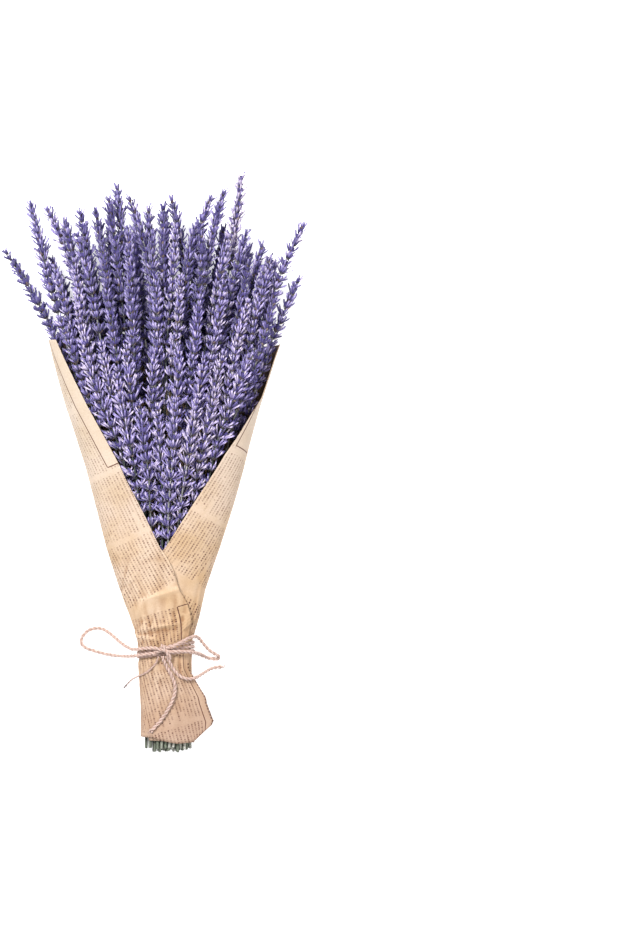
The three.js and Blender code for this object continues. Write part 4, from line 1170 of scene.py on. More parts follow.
# %% The whorls of a spike
FRONT_DEPTH = 0.6  # spikes this far towards the camera are in front
REAR_DEPTH = -0.2  # and those this far down are at the rear
FINE_DEPTH = 0.4  # spikes nearer than this have rounder calyces
PITCH_IN_FRONT = 8.9
PITCH_AT_FOOT = 7.2
PITCH_AT_REAR = 5.6
PITCH_AT_TIP = 4.6
LAST_WHORL_BELOW_TIP = 4.4
LONE_WHORL_PITCH = (8.5, 12.5)
PITCH_IN_OUTLINE = 6.2
RIM_WHORL_PITCH = (5.5, 7.5)  # of the spikes at the right, which hide the paper's rim
RIM_WHORLS = 9
OUTLINE_GROWTH = 1.1
CALYX_LENGTH = 6.7
OPEN_LENGTH = 9.8  # of the wide open lower florets in front
SPREAD = (0.88, 1.12)  # draws for the whorls' distances and sizes lie between these
CALYX_SPREAD = (0.85, 1.15)  # and for the calyces' widths
LENGTH_SPREAD = (0.84, 1.14)
# the angles of a cluster's calyces: few near the spike's tip, more towards its foot
TIP_SHARE, HALF_SHARE = 0.12, 0.5
TIP_CLUSTER = np.radians([-54, 0, 54])
MIDDLE_CLUSTER = np.radians([-80, -54, 0, 54, 80])
FOOT_CLUSTER = np.radians([-80, -54, -27, 27, 54, 80])
CLUSTER_SCATTER = 0.2  # of a cluster's angle, and of a calyx's place in it, in radians
CALYX_SCATTER = 0.12
OPENING_SCATTER = 9  # in degrees
CURVING_SPREAD = (0.7, 1.3)
LEAST_LEAN = 0.05
# from the spike's tip to its foot: how far the florets open, and how much they curve back, in degrees
OPENING_ROWS = np.array([[0, 18], [0.12, 34], [0.5, 47], [1, 56]])
CURVING_ROWS = np.array([[0, 10], [0.12, 16], [0.5, 26], [1, 38]])
SIZE_ROWS = np.array([[0, 0.66], [0.1, 0.82], [0.3, 1.02], [1, 1.06]])
REAR_GROWTH = 1.25  # the rear spikes are fuller, so that little of the table shows through
FRONT_OPENING = 9
PETAL_SHARE = 0.09  # of the calyces that still hold a petal
PETAL_ROOT = 0.86  # how far along its calyx it starts
PETAL_LEAN = 0.35
PETAL_CURVE = 0.3
PETAL_LENGTHS = (1.6, 3.0)
PETAL_WIDTHS = (0.75, 1.1)
TONE_SPREAD = 0.2
LOWEST_TONE = 0.1
BUD_ANGLES = np.radians([-38, 38])
REAR_BUD_ANGLES = np.radians([-56, 0, 56])
REAR_BUD_WIDTH = 1.7
BUD_OPENING = 0.8  # the buds lean out this much as far as the calyces
BUD_CURVE = 0.5  # and curve up by this, in radians
BUD_LENGTH = 0.7  # and are this much as long
# the buds' dark tones are painted shade in the gaps between the calyces
BUD_SHADE_TONE = 0.12  # tones of the buds lie below this
PLAIN_TIP = 0.3  # in this share of a rear spike, at its tip, the buds are small and pale
PALE_BUD = 0.7  # and take on this much of the spike's tone
BRACT_LENGTH = 3.6
BRACT_WIDTH = 0.95
BRACT_LEAN = (12, -20)  # from the calyces' opening, at the bract's root and at its tip
WHORL_TILT = 0.1  # how far a whorl leans off its stem
RIGHT_SIDE = 60  # the outline spikes past this x flower far down, over the paper's edge


def whorl_places(number, draws):
    """Distances of a spike's whorls from the cut ends, the lone whorls first."""
    spike = SPIKES[number]
    foot = spike.tip_along - spike.length
    last = spike.length - LAST_WHORL_BELOW_TIP
    first_pitch = PITCH_IN_FRONT if spike.depth > FRONT_DEPTH else PITCH_AT_FOOT
    if spike.depth < REAR_DEPTH:
        first_pitch = PITCH_AT_REAR
    if spike.via:
        first_pitch = PITCH_IN_OUTLINE
    places = [draws.uniform(0, first_pitch)]
    while places[-1] < last:
        pitch = first_pitch + (PITCH_AT_TIP - first_pitch) * places[-1] / last
        places.append(places[-1] + pitch * draws.uniform(*SPREAD))
    places = [at * last / places[-1] for at in places]
    lone_count = lone_whorls(spike)
    for _ in range(lone_count):
        lone_pitch = RIM_WHORL_PITCH if lone_count == RIM_WHORLS else LONE_WHORL_PITCH
        places.insert(0, places[0] - draws.uniform(*lone_pitch))
    return foot + np.array(places)


def lone_whorls(spike):
    """How many whorls stand below a spike's foot."""
    if spike.row == ("row", 0):
        return 2
    if spike.via and spike.tip_x > RIGHT_SIDE:
        return RIM_WHORLS
    return 3 if spike.depth > REAR_DEPTH else 2


# the spikes' tones carry painted shade and light: the rear spikes, deep in the bunch, are painted darker and
# the front ones, on top, paler
REAR_SHADED_TONES = (0.04, 0.4)
MIDDLE_TONES = (0.14, 0.8)
FRONT_LIT_TONES = (0.46, 0.9)
# of the outline spikes, from left to right
OUTLINE_TONES = [
    0.24, 0.16, 0.42, 0.52, 0.24, 0.24, 0.4, 0.2, 0.24, 0.26, 0.32, 0.38,
    0.22, 0.22, 0.24, 0.44, 0.42, 0.95, 0.42, 0.46, 0.56, 0.5, 0.46, 0.42,
]


def spike_tone(spike, draws):
    """The colour of a spike, with painted shade and light: those at the rear are dark, those in front are
    pale.
    """
    if spike.via:
        return OUTLINE_TONES[[s for s in SPIKES if s.via].index(spike)]
    if spike.depth < REAR_DEPTH:
        return draws.uniform(*REAR_SHADED_TONES)
    return draws.uniform(*(FRONT_LIT_TONES if spike.depth > FRONT_DEPTH else MIDDLE_TONES))


def cluster_angles(from_tip):
    if from_tip < TIP_SHARE:
        return TIP_CLUSTER
    return MIDDLE_CLUSTER if from_tip < HALF_SHARE else FOOT_CLUSTER


def whorl_sprouts(number):
    """Places, headings and sizes of a spike's calyces, buds and bracts."""
    spike = SPIKES[number]
    draws = np.random.default_rng(4000 + number)
    in_front = spike.depth > FRONT_DEPTH
    at_rear = spike.depth < REAR_DEPTH
    own_tone = spike_tone(spike, draws)
    growth = REAR_GROWTH if at_rear else OUTLINE_GROWTH if spike.via else 1
    phase = draws.uniform(0, np.pi)
    rows = {"calyx": [], "bud": [], "bract": []}
    for k, along in enumerate(whorl_places(number, draws)):
        place, axis, side, up = (v[0] for v in stem_frame(number, np.array([along])))
        axis = unit(axis + draws.normal(0, WHORL_TILT, 3))
        from_tip = (spike.tip_along - along) / spike.length
        size = between(SIZE_ROWS, from_tip) * draws.uniform(*SPREAD) * growth
        opening = between(OPENING_ROWS, from_tip) + FRONT_OPENING * in_front * min(1, from_tip)
        curving = between(CURVING_ROWS, from_tip)
        open_share = in_front * min(1, 2 * from_tip)
        length = size * (CALYX_LENGTH + (OPEN_LENGTH - CALYX_LENGTH) * open_share)
        bud_width = REAR_BUD_WIDTH if at_rear and from_tip > PLAIN_TIP else 1
        bud_tone = PALE_BUD * own_tone if at_rear and from_tip < PLAIN_TIP else 0
        for half in (0, 1):
            middle = phase + k * np.pi / 2 + half * np.pi + draws.normal(0, CLUSTER_SCATTER)
            for angle in cluster_angles(from_tip):
                turn = middle + angle + draws.normal(0, CALYX_SCATTER)
                out = math.cos(turn) * side + math.sin(turn) * up
                start = math.radians(opening + draws.normal(0, OPENING_SCATTER))
                end = start - math.radians(curving * draws.uniform(*CURVING_SPREAD))
                rows["calyx"].append([
                    *(place + out * 0.5 + axis * draws.uniform(-0.4, 1.0)), *axis, *out,
                    start, max(LEAST_LEAN, end), length * draws.uniform(*LENGTH_SPREAD),
                    size ** 0.5 * draws.uniform(*CALYX_SPREAD),
                    np.clip(own_tone + draws.normal(0, TONE_SPREAD), LOWEST_TONE, 1),
                ])
            for angle in REAR_BUD_ANGLES if at_rear else BUD_ANGLES:
                out = math.cos(middle + angle) * side + math.sin(middle + angle) * up
                start = math.radians(BUD_OPENING * opening)
                rows["bud"].append([
                    *(place + out * 0.4), *axis, *out, start, start - BUD_CURVE, BUD_LENGTH * length,
                    size * bud_width, draws.uniform(0.0, BUD_SHADE_TONE) + bud_tone,
                ])
            out = math.cos(middle) * side + math.sin(middle) * up
            start, end = (math.radians(opening + lean) for lean in BRACT_LEAN)
            rows["bract"].append([
                *(place + out * 0.3 - axis * 0.8), *axis, *out, start, end,
                BRACT_LENGTH * size, size * BRACT_WIDTH, draws.uniform(0, 1),
            ])
    found = {}
    for kind, values in rows.items():
        columns = np.array(values).T
        length, width, tone = columns[11:]
        found[kind] = {
            "base": columns[:3].T, "axis": columns[3:6].T, "out": columns[6:9].T,
            "lean": columns[9:11], "length": length, "width": width, "tone": tone,
        }
        found[kind]["over"] = goes_over(found[kind])
    return found, draws


def petal_sprouts(calyces, draws):
    """Dried petals that stand out of some of the calyces, on the same side of the paper as they are."""
    chosen = draws.uniform(size=len(calyces["base"])) < PETAL_SHARE
    place, heading = sprout_line(calyces, PETAL_ROOT)
    out = unit(np.cross(heading, unit(draws.normal(size=heading.shape))))
    lean = draws.uniform(0, PETAL_LEAN, len(heading))
    chosen &= ~(under_flap(place) | calyces["over"])
    return {
        "base": place[chosen], "axis": heading[chosen], "out": out[chosen],
        "lean": (lean[chosen], lean[chosen] + PETAL_CURVE),
        "length": draws.uniform(*PETAL_LENGTHS, len(chosen))[chosen],
        "width": draws.uniform(*PETAL_WIDTHS, len(chosen))[chosen],
        "tone": draws.uniform(0, 1, len(chosen))[chosen],
        "over": calyces["over"][chosen],
    }


# %% [markdown]
# Florets can't pass through the paper or the table. Those on the table side are pressed flat,
# those under a flap stay under it, and those that lean out of the opening rest on top of the flaps.

# %% Keep the florets clear of the table and of the paper
FLOOR_SOFT = 2.6  # the florets begin to give way at this height
FLOOR_HARD = 0.35  # and none goes below this one
UNDER_PAPER = 1.25  # they stay this far inside the wrap
OVER_PAPER = 0.5  # or this far outside it
OVER_SHARE = 0.97  # a floret whose tip is this far out of the opening goes over the flap
LOWEST_OVER = 236  # but only above this level, where the right flap ends


def clear_of_table(points):
    """Presses points that come near the table, or lie below it, into a thin layer above it."""
    low = np.minimum(points[:, 2], FLOOR_SOFT)
    layer = FLOOR_SOFT - FLOOR_HARD
    pressed = FLOOR_HARD + layer * np.exp((low - FLOOR_SOFT) / layer)
    points[:, 2] = np.where(points[:, 2] < FLOOR_SOFT, pressed, points[:, 2])


def how_far_out(points, grown):
    """1 on the wrap's outside, grown by a distance, less than 1 inside it."""
    along = np.minimum(points[:, 1] + ORIGIN_ALONG, RIM_ALONG)
    middle, half_width, half_depth, centre, _ = wrap_section(along)
    upright = (points[:, 2] - centre) / (half_depth + grown)
    upright = np.where(upright < 0, upright / FLAT_PRESS, upright)
    across = (points[:, 0] - middle) / (half_width + grown)
    out = (np.abs(across) ** SECTION_POWER + np.abs(upright) ** SECTION_POWER) ** (1 / SECTION_POWER)
    return out, middle, centre


def under_flap(points):
    """Which points lie where the paper covers them, seen from the opening's side."""
    along = points[:, 1] + ORIGIN_ALONG
    section = wrap_section(along)
    left = point_on(section, between(LEFT_FLAP_ROWS, along))[:, 0]
    right = point_on(section, -between(FINE_RIGHT_FLAP_ROWS, along))[:, 0]
    open_here = (along > FLAP_CROSSING_ALONG) & (points[:, 0] > left) & (points[:, 0] < right)
    return (along < RIM_ALONG + 1) & ~(open_here & (points[:, 2] > section[3]))


def goes_over(where):
    """Which sprouts lean out of the opening and over a flap."""
    tip = sprout_line(where, 1.0)[0]
    tip_out = how_far_out(tip, 0.0)[0]
    at_right_rim = (tip[:, 0] > 0) & (tip[:, 1] + ORIGIN_ALONG > LOWEST_OVER)
    return ~under_flap(where["base"]) & (tip_out > OVER_SHARE) & at_right_rim


def clear_of_paper(made, over):
    """Moves points that would pass through the paper, inward or out over the flap."""
    points, owner = made["points"], made["owner"]
    covered = under_flap(points)
    out, middle, centre = how_far_out(points, -UNDER_PAPER)
    inside = covered & ~over[owner] & (out > 1)
    out_top, _, _ = how_far_out(points, FLAP_STEP + OVER_PAPER)
    outside = covered & over[owner] & (out_top < 1)
    share = np.where(inside, 1 / out, np.where(outside, 1 / np.maximum(out_top, 0.5), 1))
    points[:, 0] = middle + (points[:, 0] - middle) * share
    points[:, 2] = centre + (points[:, 2] - centre) * share
    floor = wrap_section(np.minimum(points[:, 1] + ORIGIN_ALONG, RIM_ALONG))[4] + UNDER_PAPER
    points[:, 2] = np.where(covered, np.maximum(points[:, 2], floor), points[:, 2])


# %% Make the lavender
def spike_parts(number):
    """A spike's stem and all that grows on it."""
    found, draws = whorl_sprouts(number)
    depth = SPIKES[number].depth
    profile = REAR_CALYX_PROFILE if depth < REAR_DEPTH else CALYX_PROFILE
    petals = petal_sprouts(found["calyx"], draws)
    grown_kinds = [
        (found["calyx"], profile, CALYX_CLOSING, 6 if depth > FINE_DEPTH else 4, CALYX),
        (found["bud"], BUD_PROFILE, BUD_CLOSING, 4, CALYX),
        (found["bract"], BRACT_PROFILE, BRACT_CLOSING, 4, BRACT),
        (petals, PETAL_PROFILE, PETAL_CLOSING, 4, PETAL),
    ]
    parts = [stem_part(number)]
    for where, *shape in grown_kinds:
        grown = sprouts(where, *shape)
        clear_of_paper(grown, where["over"])
        clear_of_table(grown["points"])
        parts.append(grown)
    return parts


total_triangles = 0
for stem, number in enumerate(MAIN_NUMBERS):
    node = f"lavender_{stem + 1:02d}"
    parts = spike_parts(number)
    for other, spike in enumerate(SPIKES):
        if spike.is_shoot and spike.parent == number:
            parts += spike_parts(other)
    piece = make_piece(node + "_florets", parts, LAVENDER_FINISHES, [node])
    total_triangles += len(piece.data.polygons)
print("triangles in the lavender:", total_triangles)

# %% [markdown]
# ## The paper sheet
# One sheet is rolled round the stems, its left flap over its right one. The fine sheet follows the
# solid wrap and then gets what paper does by itself: gathers where the twine pulls it in, sharp
# creases above them, a gentle wave in the flaps, and a free edge that stands off a little. Those
# shapes are moved points, because creases must change the outline and catch the light.

# %% The fine sheet
LOWEST_LEVEL = 10
# the cut edges: angle round the wrap, distance from the cut ends of the stems
BOTTOM_EDGE = np.array([
    [-220, 9], [-90, 7], [0, 9], [90, 12], [150, 11], [180, 8], [195, 6.5], [208, 7.5], [222, 21],
])
TOP_EDGE = np.array([[-94, 302], [-60, 300], [0, 304], [60, 303], [90, 304.5], [114, 304.5]])
FIRST_INNER_LEVEL = 24  # the cut edges bend the sheet's rows below this level
LAST_INNER_LEVEL = 262  # and above this one
# the outer flap's loose lower corner stands out to the right: distance from the cut ends, how far
FLARE_ROWS = np.array([[0, 19], [22, 19], [36, 13], [50, 5], [62, 0], [RIM_ALONG, 0]])
FLARE_START = 190  # the corner leaves the wrap at this angle
FLARE_SPAN = 32
FLARE_LIMIT = 1.2
FLARE_POWER = 1.4
FLARE_DROP = 0.3  # it also drops by this share
SHEET_THICKNESS = 0.3
SHEET_ROW_STEP = 2.2
FINE_ROW_STEP = 1.0
FINE_ROWS = (56, 132)  # the gathers and creases lie between these levels
BACK_COLUMNS = 34
FLAP_COLUMNS = 64
BACK_REACH = 75

sheet_levels = np.concatenate([
    np.arange(LOWEST_LEVEL, FINE_ROWS[0], SHEET_ROW_STEP), np.arange(*FINE_ROWS, FINE_ROW_STEP),
    np.linspace(FINE_ROWS[1], RIM_ALONG, int((RIM_ALONG - FINE_ROWS[1]) / SHEET_ROW_STEP)),
])[:, None]
left_edge = between(LEFT_FLAP_ROWS, sheet_levels)
right_edge = between(FINE_RIGHT_FLAP_ROWS, sheet_levels)
back = np.linspace(-BACK_REACH, BACK_REACH, BACK_COLUMNS)[None]
share = (np.arange(FLAP_COLUMNS) + 1)[None] / FLAP_COLUMNS
sheet_angles = np.concatenate([
    -(BACK_REACH + (right_edge - BACK_REACH) * share[:, ::-1]),
    np.broadcast_to(back, (len(sheet_levels), BACK_COLUMNS)),
    BACK_REACH + (left_edge - BACK_REACH) * share,
], axis=1)
sheet_section = wrap_section(sheet_levels)
low_share = np.clip((FIRST_INNER_LEVEL - sheet_levels) / (FIRST_INNER_LEVEL - LOWEST_LEVEL), 0, 1)
high_share = np.clip((sheet_levels - LAST_INNER_LEVEL) / (RIM_ALONG - LAST_INNER_LEVEL), 0, 1)
sheet_along = sheet_levels + low_share * (between(BOTTOM_EDGE, sheet_angles) - LOWEST_LEVEL)
sheet_along = sheet_along + high_share * (between(TOP_EDGE, sheet_angles) - RIM_ALONG)
sheet_outward = outward_on(sheet_section, sheet_angles)


def sheet_points(outward):
    """Points of the sheet, moved outward by a distance from the solid wrap's outside."""
    place = point_on(sheet_section, sheet_angles)
    place = place + sheet_outward * (flap_step(sheet_angles) + outward)[..., None]
    loose = np.clip((sheet_angles - FLARE_START) / FLARE_SPAN, 0, FLARE_LIMIT)
    flare = between(FLARE_ROWS, sheet_levels) * loose ** FLARE_POWER
    x = place[..., 0] + flare
    return np.stack([x, sheet_along - ORIGIN_ALONG, place[..., 1] - FLARE_DROP * flare], -1)


plain_sheet = sheet_points(np.zeros_like(sheet_angles))
print("sheet points:", plain_sheet.shape[:2])

# %% [markdown]
# The print runs in straight rows on the flat sheet, so the sheet has to be unrolled to place it.
# A cone unrolls into a fan: each level becomes an arc, and its bend is the rate at which the
# cone widens. The two cut edges that make the opening come out nearly parallel, as they must on a
# sheet with square corners, and the rows run along them. Below the cone the sheet is gathered, and
# there the rows are laid out afresh from the front, because that is how the tied paper shows them.

# %% Unroll the sheet and measure from its cut edges
FAN_TIP = 12  # the cone would come to a point here
EVEN_CONE = 115  # above this level the wrap is a smooth cone
BEND_ROWS = np.array([[10, 0.002], [60, 0.004], [90, 0.0075], [EVEN_CONE, 1 / (EVEN_CONE - FAN_TIP)]])
LOWEST_STRAIGHT = 128  # above this level the cut edges are smooth enough to measure from

step_lengths = np.linalg.norm(np.diff(plain_sheet, axis=1), axis=2)
run_across = np.concatenate([np.zeros((len(sheet_levels), 1)), np.cumsum(step_lengths, axis=1)], axis=1)
middle_column = int(np.argmin(np.abs(sheet_angles[0])))
run_across = run_across - run_across[:, middle_column:middle_column + 1]
cone_bend = 1 / np.maximum(1, sheet_levels - FAN_TIP)
bend = np.where(sheet_levels > EVEN_CONE, cone_bend, between(BEND_ROWS, sheet_levels))
flat = np.stack([np.sin(bend * run_across) / bend, sheet_along - (1 - np.cos(bend * run_across)) / bend], -1)


def from_edge(column, side):
    """Distance of every point from a cut edge, and place along that edge, on the flat sheet."""
    edge = flat[sheet_levels[:, 0] > LOWEST_STRAIGHT, column]
    bow = np.polyfit(edge[:, 1], edge[:, 0], 2)
    y = np.clip(flat[..., 1], edge[:, 1].min(), edge[:, 1].max())
    slope = np.polyval(np.polyder(bow), y)
    edge_x = np.polyval(bow, y) + slope * (flat[..., 1] - y)
    away = side * (edge_x - flat[..., 0]) * np.cos(np.arctan(slope))
    lean = math.atan(np.polyfit(edge[:, 1], edge[:, 0], 1)[0])
    return away, flat[..., 0] * math.sin(lean) + flat[..., 1] * math.cos(lean)


left_away, left_run = from_edge(-1, 1)
right_away, right_run = from_edge(0, -1)

LOW_LEAN = math.radians(16)  # of the rows below the cone
BAND_X, BAND_ALONG = -4, 109  # middle of the blank band above the gathers
LOW_EDGE = [(17, 40), (106, 15)]  # the rows' own straight edge: distance from the cut ends, x
EDGE_HOLD = 15  # the rows follow the cut edge's bends within this distance of it
LOW_STRETCH = 1.087  # the columns are shorter here, because the gathers take up paper
SIDE_FOLD_X, SIDE_FOLD_ALONG = 18, 122  # where the rows of the right flap end

front_run = np.array([np.interp(180, a, r) for a, r in zip(sheet_angles, run_across)])[:, None]
front_x = run_across - front_run + sheet_section[0]
low_edge_x = np.interp(sheet_along, [along for along, _ in LOW_EDGE], [x for _, x in LOW_EDGE])
low_edge_x += (sheet_along - np.clip(sheet_along, LOW_EDGE[0][0], LOW_EDGE[1][0])) * -math.tan(LOW_LEAN)
from_cut = run_across[:, -1:] - run_across
from_line = low_edge_x - front_x
held = np.exp(-np.maximum(from_cut, 0) / EDGE_HOLD)
low_away = (from_line + (from_cut - from_line) * held) * math.cos(LOW_LEAN)
low_run = LOW_STRETCH * (
    (sheet_along - BAND_ALONG) * math.cos(LOW_LEAN) - (front_x - BAND_X) * math.sin(LOW_LEAN)
)
low_right_away = (run_across - run_across[:, :1]) * math.cos(LOW_LEAN)


def nearest_point(x, along, is_left):
    """Row and column of the sheet's point that is seen at a place on one of the flaps."""
    off = np.hypot(plain_sheet[..., 0] - x, plain_sheet[..., 1] + ORIGIN_ALONG - along)
    on_flap = sheet_angles > 90 if is_left else sheet_angles < -90
    return np.unravel_index(np.argmin(np.where(on_flap, off, np.inf)), off.shape)


left_run = left_run - left_run[nearest_point(BAND_X, BAND_ALONG, True)]
right_run = right_run - right_run[nearest_point(SIDE_FOLD_X, SIDE_FOLD_ALONG, False)]
above_band = smooth_step(low_run, -2, 6)
left_away = low_away + (left_away - low_away) * above_band
right_away = low_right_away + (right_away - low_right_away) * smooth_step(sheet_levels, 70, 90)
share_across = left_away / np.maximum(left_away + right_away, 1)
on_right = smooth_step(share_across, 0.3, 0.7)
SHEET_WIDTH = float((left_away + right_away)[sheet_levels[:, 0] > LOWEST_STRAIGHT].mean())
high_run = left_run + (right_run - left_run) * on_right
print_run = low_run + (high_run - low_run) * above_band
print_across = (left_away + (SHEET_WIDTH - right_away - left_away) * on_right) / SHEET_WIDTH
print("distance between the cut edges on the flat sheet:", round(SHEET_WIDTH), "mm")

# %% [markdown]
# Paper that is tied in a bunch doesn't stretch. It gathers at the tie, and above it the spare
# width turns into sharp creases. The creases are ridges and valleys in the sheet itself: a bump
# map would shade them, but they would vanish at the outline.

# %% Gathers, creases and waves
GATHER_WAVES = [(9, 0.3), (14, 1.9), (19, 4.1), (27, 2.6)]  # how many round the wrap, and a phase
GATHER_DRIFT = 0.012  # the gathers wander this much for each millimetre along
GATHER_HEIGHT = 1.6
# distance from the cut ends, share of the gathers' height there
GATHER_ROWS = np.array([
    [10, 0.1], [45, 0.3], [62, 0.9], [75, 0.6], [88, 1.0], [105, 0.45], [130, 0.15], [160, 0],
])
# distance from the cut ends, how far the sheet may stand out of the solid wrap there
OUTWARD_LIMIT_ROWS = np.array([
    [10, 0.5], [50, 1.0], [64, 1.5], [70, 1.2], [79, 1.3], [83, 2.8], [98, 3.6], [124, 3.6],
    [150, 1.8], [306, 1.2],
])
INWARD_LIMIT = 0.85  # and how far in anywhere
NAMED_CREASES = [
    # x and distance from the cut ends of the middle, heading in degrees, half length, height, half width
    (-1, 117, 17, 20, 3.6, 4.6), (-17, 107, 70, 10, 2.2, 3), (14, 121, -58, 12, -2.2, 3),
    (12, 112, -75, 12, 2.4, 2.6), (-3, 93, 10, 18, 3.6, 2.2), (-4, 89, 8, 16, -2.4, 1.8),
    (8, 98, 105, 9, -1.8, 1.7), (-9, 96, 72, 9, -1.6, 1.8), (-15, 92, 80, 10, 1.6, 1.6),
    (17, 93, 42, 9, 2.2, 0.9), (18, 96.4, 42, 9, 2.2, 0.9), (19, 99.8, 42, 9, 2.0, 0.9),
    (20, 103.4, 40, 8, 1.8, 1.0), (-12, 63, 84, 10, 1.6, 1.6), (-3, 62, 98, 9, 1.5, 1.5),
    (8, 62, 82, 10, 1.5, 1.6), (15, 60, 95, 10, 1.4, 1.5), (-12, 84.5, -6, 11, 3.0, 1.5),
    (-20, 86, 128, 6, 2.6, 1.4), (2, 58, 20, 10, 1.0, 2.2), (-30, 128, 70, 18, -1.0, 3),
    (-22, 140, 64, 20, 1.1, 3), (16, 140, 118, 18, 1.1, 3),
]
EDGE_LIFT = 2.0  # how far the left flap's free edge stands off the right flap
EDGE_LIFT_REACH = 6  # and how far from the edge that begins
EDGE_LIFT_ROWS = np.array([[88, 0], [104, 0.6], [122, 1], [140, 0.8], [156, 0.15], [200, 0]])
PULL_WIDTH = 4.2  # the twine pulls the sheet in over this distance to each side
TURN_SKEW = 0.17  # the turns climb this much for each millimetre of x
# painted shade in the creases, found from the relief
CREASE_SHADE_ROUNDS = 14  # of averaging, to find the height of the paper round a valley
CREASE_SHADE_STRENGTH = 0.85  # for each millimetre of depth
FLAP_WAVE = 0.5  # height of the waves in the flaps
WAVE_START, WAVE_RISE = 100, 60  # they begin at this level and are full after this distance
COVERED_SMOOTHING = 0.85  # how much of its relief the inner flap loses under the outer one
RESTING = -0.9  # the sheet rests where it faces down more than this
RESTING_RELIEF = 0.3  # and keeps this share of its relief there
CREASE_COUNT = 26  # small ones, besides the named ones
CREASE_PLACES = (-34, 30)  # x
CREASE_LEVELS = (84, 150)
CREASE_SIZES = (7, 20)
CREASE_HEIGHTS = (0.4, 1.0)
CREASE_WIDTHS = (1.6, 3.2)
GAP_BETWEEN_FLAPS = 0.45
STIFF_CREASE = 1.6  # how sharp the creases' ridges are

crease_draw = np.random.default_rng(88)
turn = np.radians(sheet_angles)
gathers = np.zeros_like(sheet_angles)
for count, phase in GATHER_WAVES:
    drift = phase + GATHER_DRIFT * (sheet_levels - TIE_ALONG) * math.sin(phase * 3)
    gathers += (1 - 2 * np.abs(np.sin(count * turn / 2 + drift))) / len(GATHER_WAVES)
relief = gathers * between(GATHER_ROWS, sheet_levels) * GATHER_HEIGHT

creases = list(NAMED_CREASES)
for _ in range(CREASE_COUNT):
    sign = crease_draw.choice([-1, 1])
    creases.append((
        crease_draw.uniform(*CREASE_PLACES), crease_draw.uniform(*CREASE_LEVELS),
        crease_draw.uniform(0, 180),
        crease_draw.uniform(*CREASE_SIZES), sign * crease_draw.uniform(*CREASE_HEIGHTS),
        crease_draw.uniform(*CREASE_WIDTHS),
    ))
for x, level, heading, size, height, width in creases:
    heading = math.radians(heading)
    along = (front_x - x) * math.cos(heading) + (sheet_along - level) * math.sin(heading)
    across = -(front_x - x) * math.sin(heading) + (sheet_along - level) * math.cos(heading)
    fade = np.clip(1 - (along / size) ** 2, 0, 1)
    relief += height * fade * np.exp(-(np.abs(across) / width) ** (1 / STIFF_CREASE) * STIFF_CREASE / 1.3)

wave = np.sin(left_run / 21 + 0.02 * left_away) * np.sin(left_away / 17 + 0.8)
wave += 0.6 * np.sin(right_run / 13 + 2) * np.sin(right_away / 24)
relief += FLAP_WAVE * wave * np.clip((sheet_levels - WAVE_START) / WAVE_RISE, 0, 1)

limit = np.where(relief > 0, between(OUTWARD_LIMIT_ROWS, sheet_levels), -INWARD_LIMIT)
relief = limit * np.tanh(relief / limit)
relief += EDGE_LIFT * between(EDGE_LIFT_ROWS, sheet_along) * np.exp(-from_cut / EDGE_LIFT_REACH)
# the twine pulls the sheet in all round
off_turns = sheet_along - TIE_ALONG - TURN_SKEW * plain_sheet[..., 0]
pull = np.exp(-(off_turns / PULL_WIDTH) ** 4)
relief = relief * (1 - pull) - INWARD_LIMIT * pull
# painted shade in the creases: the paper is darkened where the valleys lie deeper than the paper round them,
# and lightened a little on the ridges
around = relief
for _ in range(CREASE_SHADE_ROUNDS):
    padded = np.pad(around, 1, mode="edge")
    sides_sum = padded[:-2, 1:-1] + padded[2:, 1:-1] + padded[1:-1, :-2] + padded[1:-1, 2:]
    around = (2 * padded[1:-1, 1:-1] + sides_sum) / 6
crease_shade = np.clip(0.5 + CREASE_SHADE_STRENGTH * (around - relief), 0, 1)
# the flap underneath keeps nearly smooth where the other one covers it
covered = smooth_step(-sheet_angles, 360 - left_edge - 14, 360 - left_edge + 4)
relief = relief * (1 - COVERED_SMOOTHING * covered)
# and the outer flap doesn't sink into it
over = smooth_step(sheet_angles, 360 - right_edge - 6, 360 - right_edge + 6)
relief = np.where(relief < 0, relief * (1 - over * (1 - GAP_BETWEEN_FLAPS / INWARD_LIMIT)), relief)
# the sheet lies flat where it rests
resting = sheet_outward[..., 1] < RESTING
relief = np.where(resting, np.minimum(relief, 0) * RESTING_RELIEF, relief)

# %% [markdown]
# The free lengths of twine touch the paper here and there. Where the sheet comes too close to
# them, it gives way and goes a little inward.

# %% Make room under the twine
CORD_ROUTES = [
    (LOOP_LEFT_ROUTE, TWINE_DIAMETER), (LOOP_RIGHT_ROUTE, TWINE_DIAMETER),
    (TAIL_RIGHT_ROUTE, TWINE_DIAMETER), (TAIL_DOWN_ROUTE, TWINE_DIAMETER), (STRAND_ROUTE, STRAND_DIAMETER),
]
CORD_LINE_STEP = 2.0
CORD_LINES = [(smooth_line(route, CORD_LINE_STEP), diameter) for route, diameter in CORD_ROUTES]
CORD_GAP = 0.12
DRAWN_SHARE = 0.6  # the plies reach this far from a cord's line, in diameters
DEEPEST_RELIEF = -0.9  # the sheet gives way no further than this
LOWEST_CLEARED, HIGHEST_CLEARED = 8, 104

near_rows = (sheet_levels[:, 0] > LOWEST_CLEARED) & (sheet_levels[:, 0] < HIGHEST_CLEARED)
for _ in range(2):
    outer = sheet_points(relief)[near_rows]
    sink = np.zeros(outer.shape[:2])
    for line, diameter in CORD_LINES:
        distance = np.linalg.norm(outer[:, :, None] - line[None, None], axis=-1).min(-1)
        sink = np.maximum(sink, DRAWN_SHARE * diameter + CORD_GAP - distance)
    relief[near_rows] = np.maximum(relief[near_rows] - np.maximum(sink, 0), DEEPEST_RELIEF)

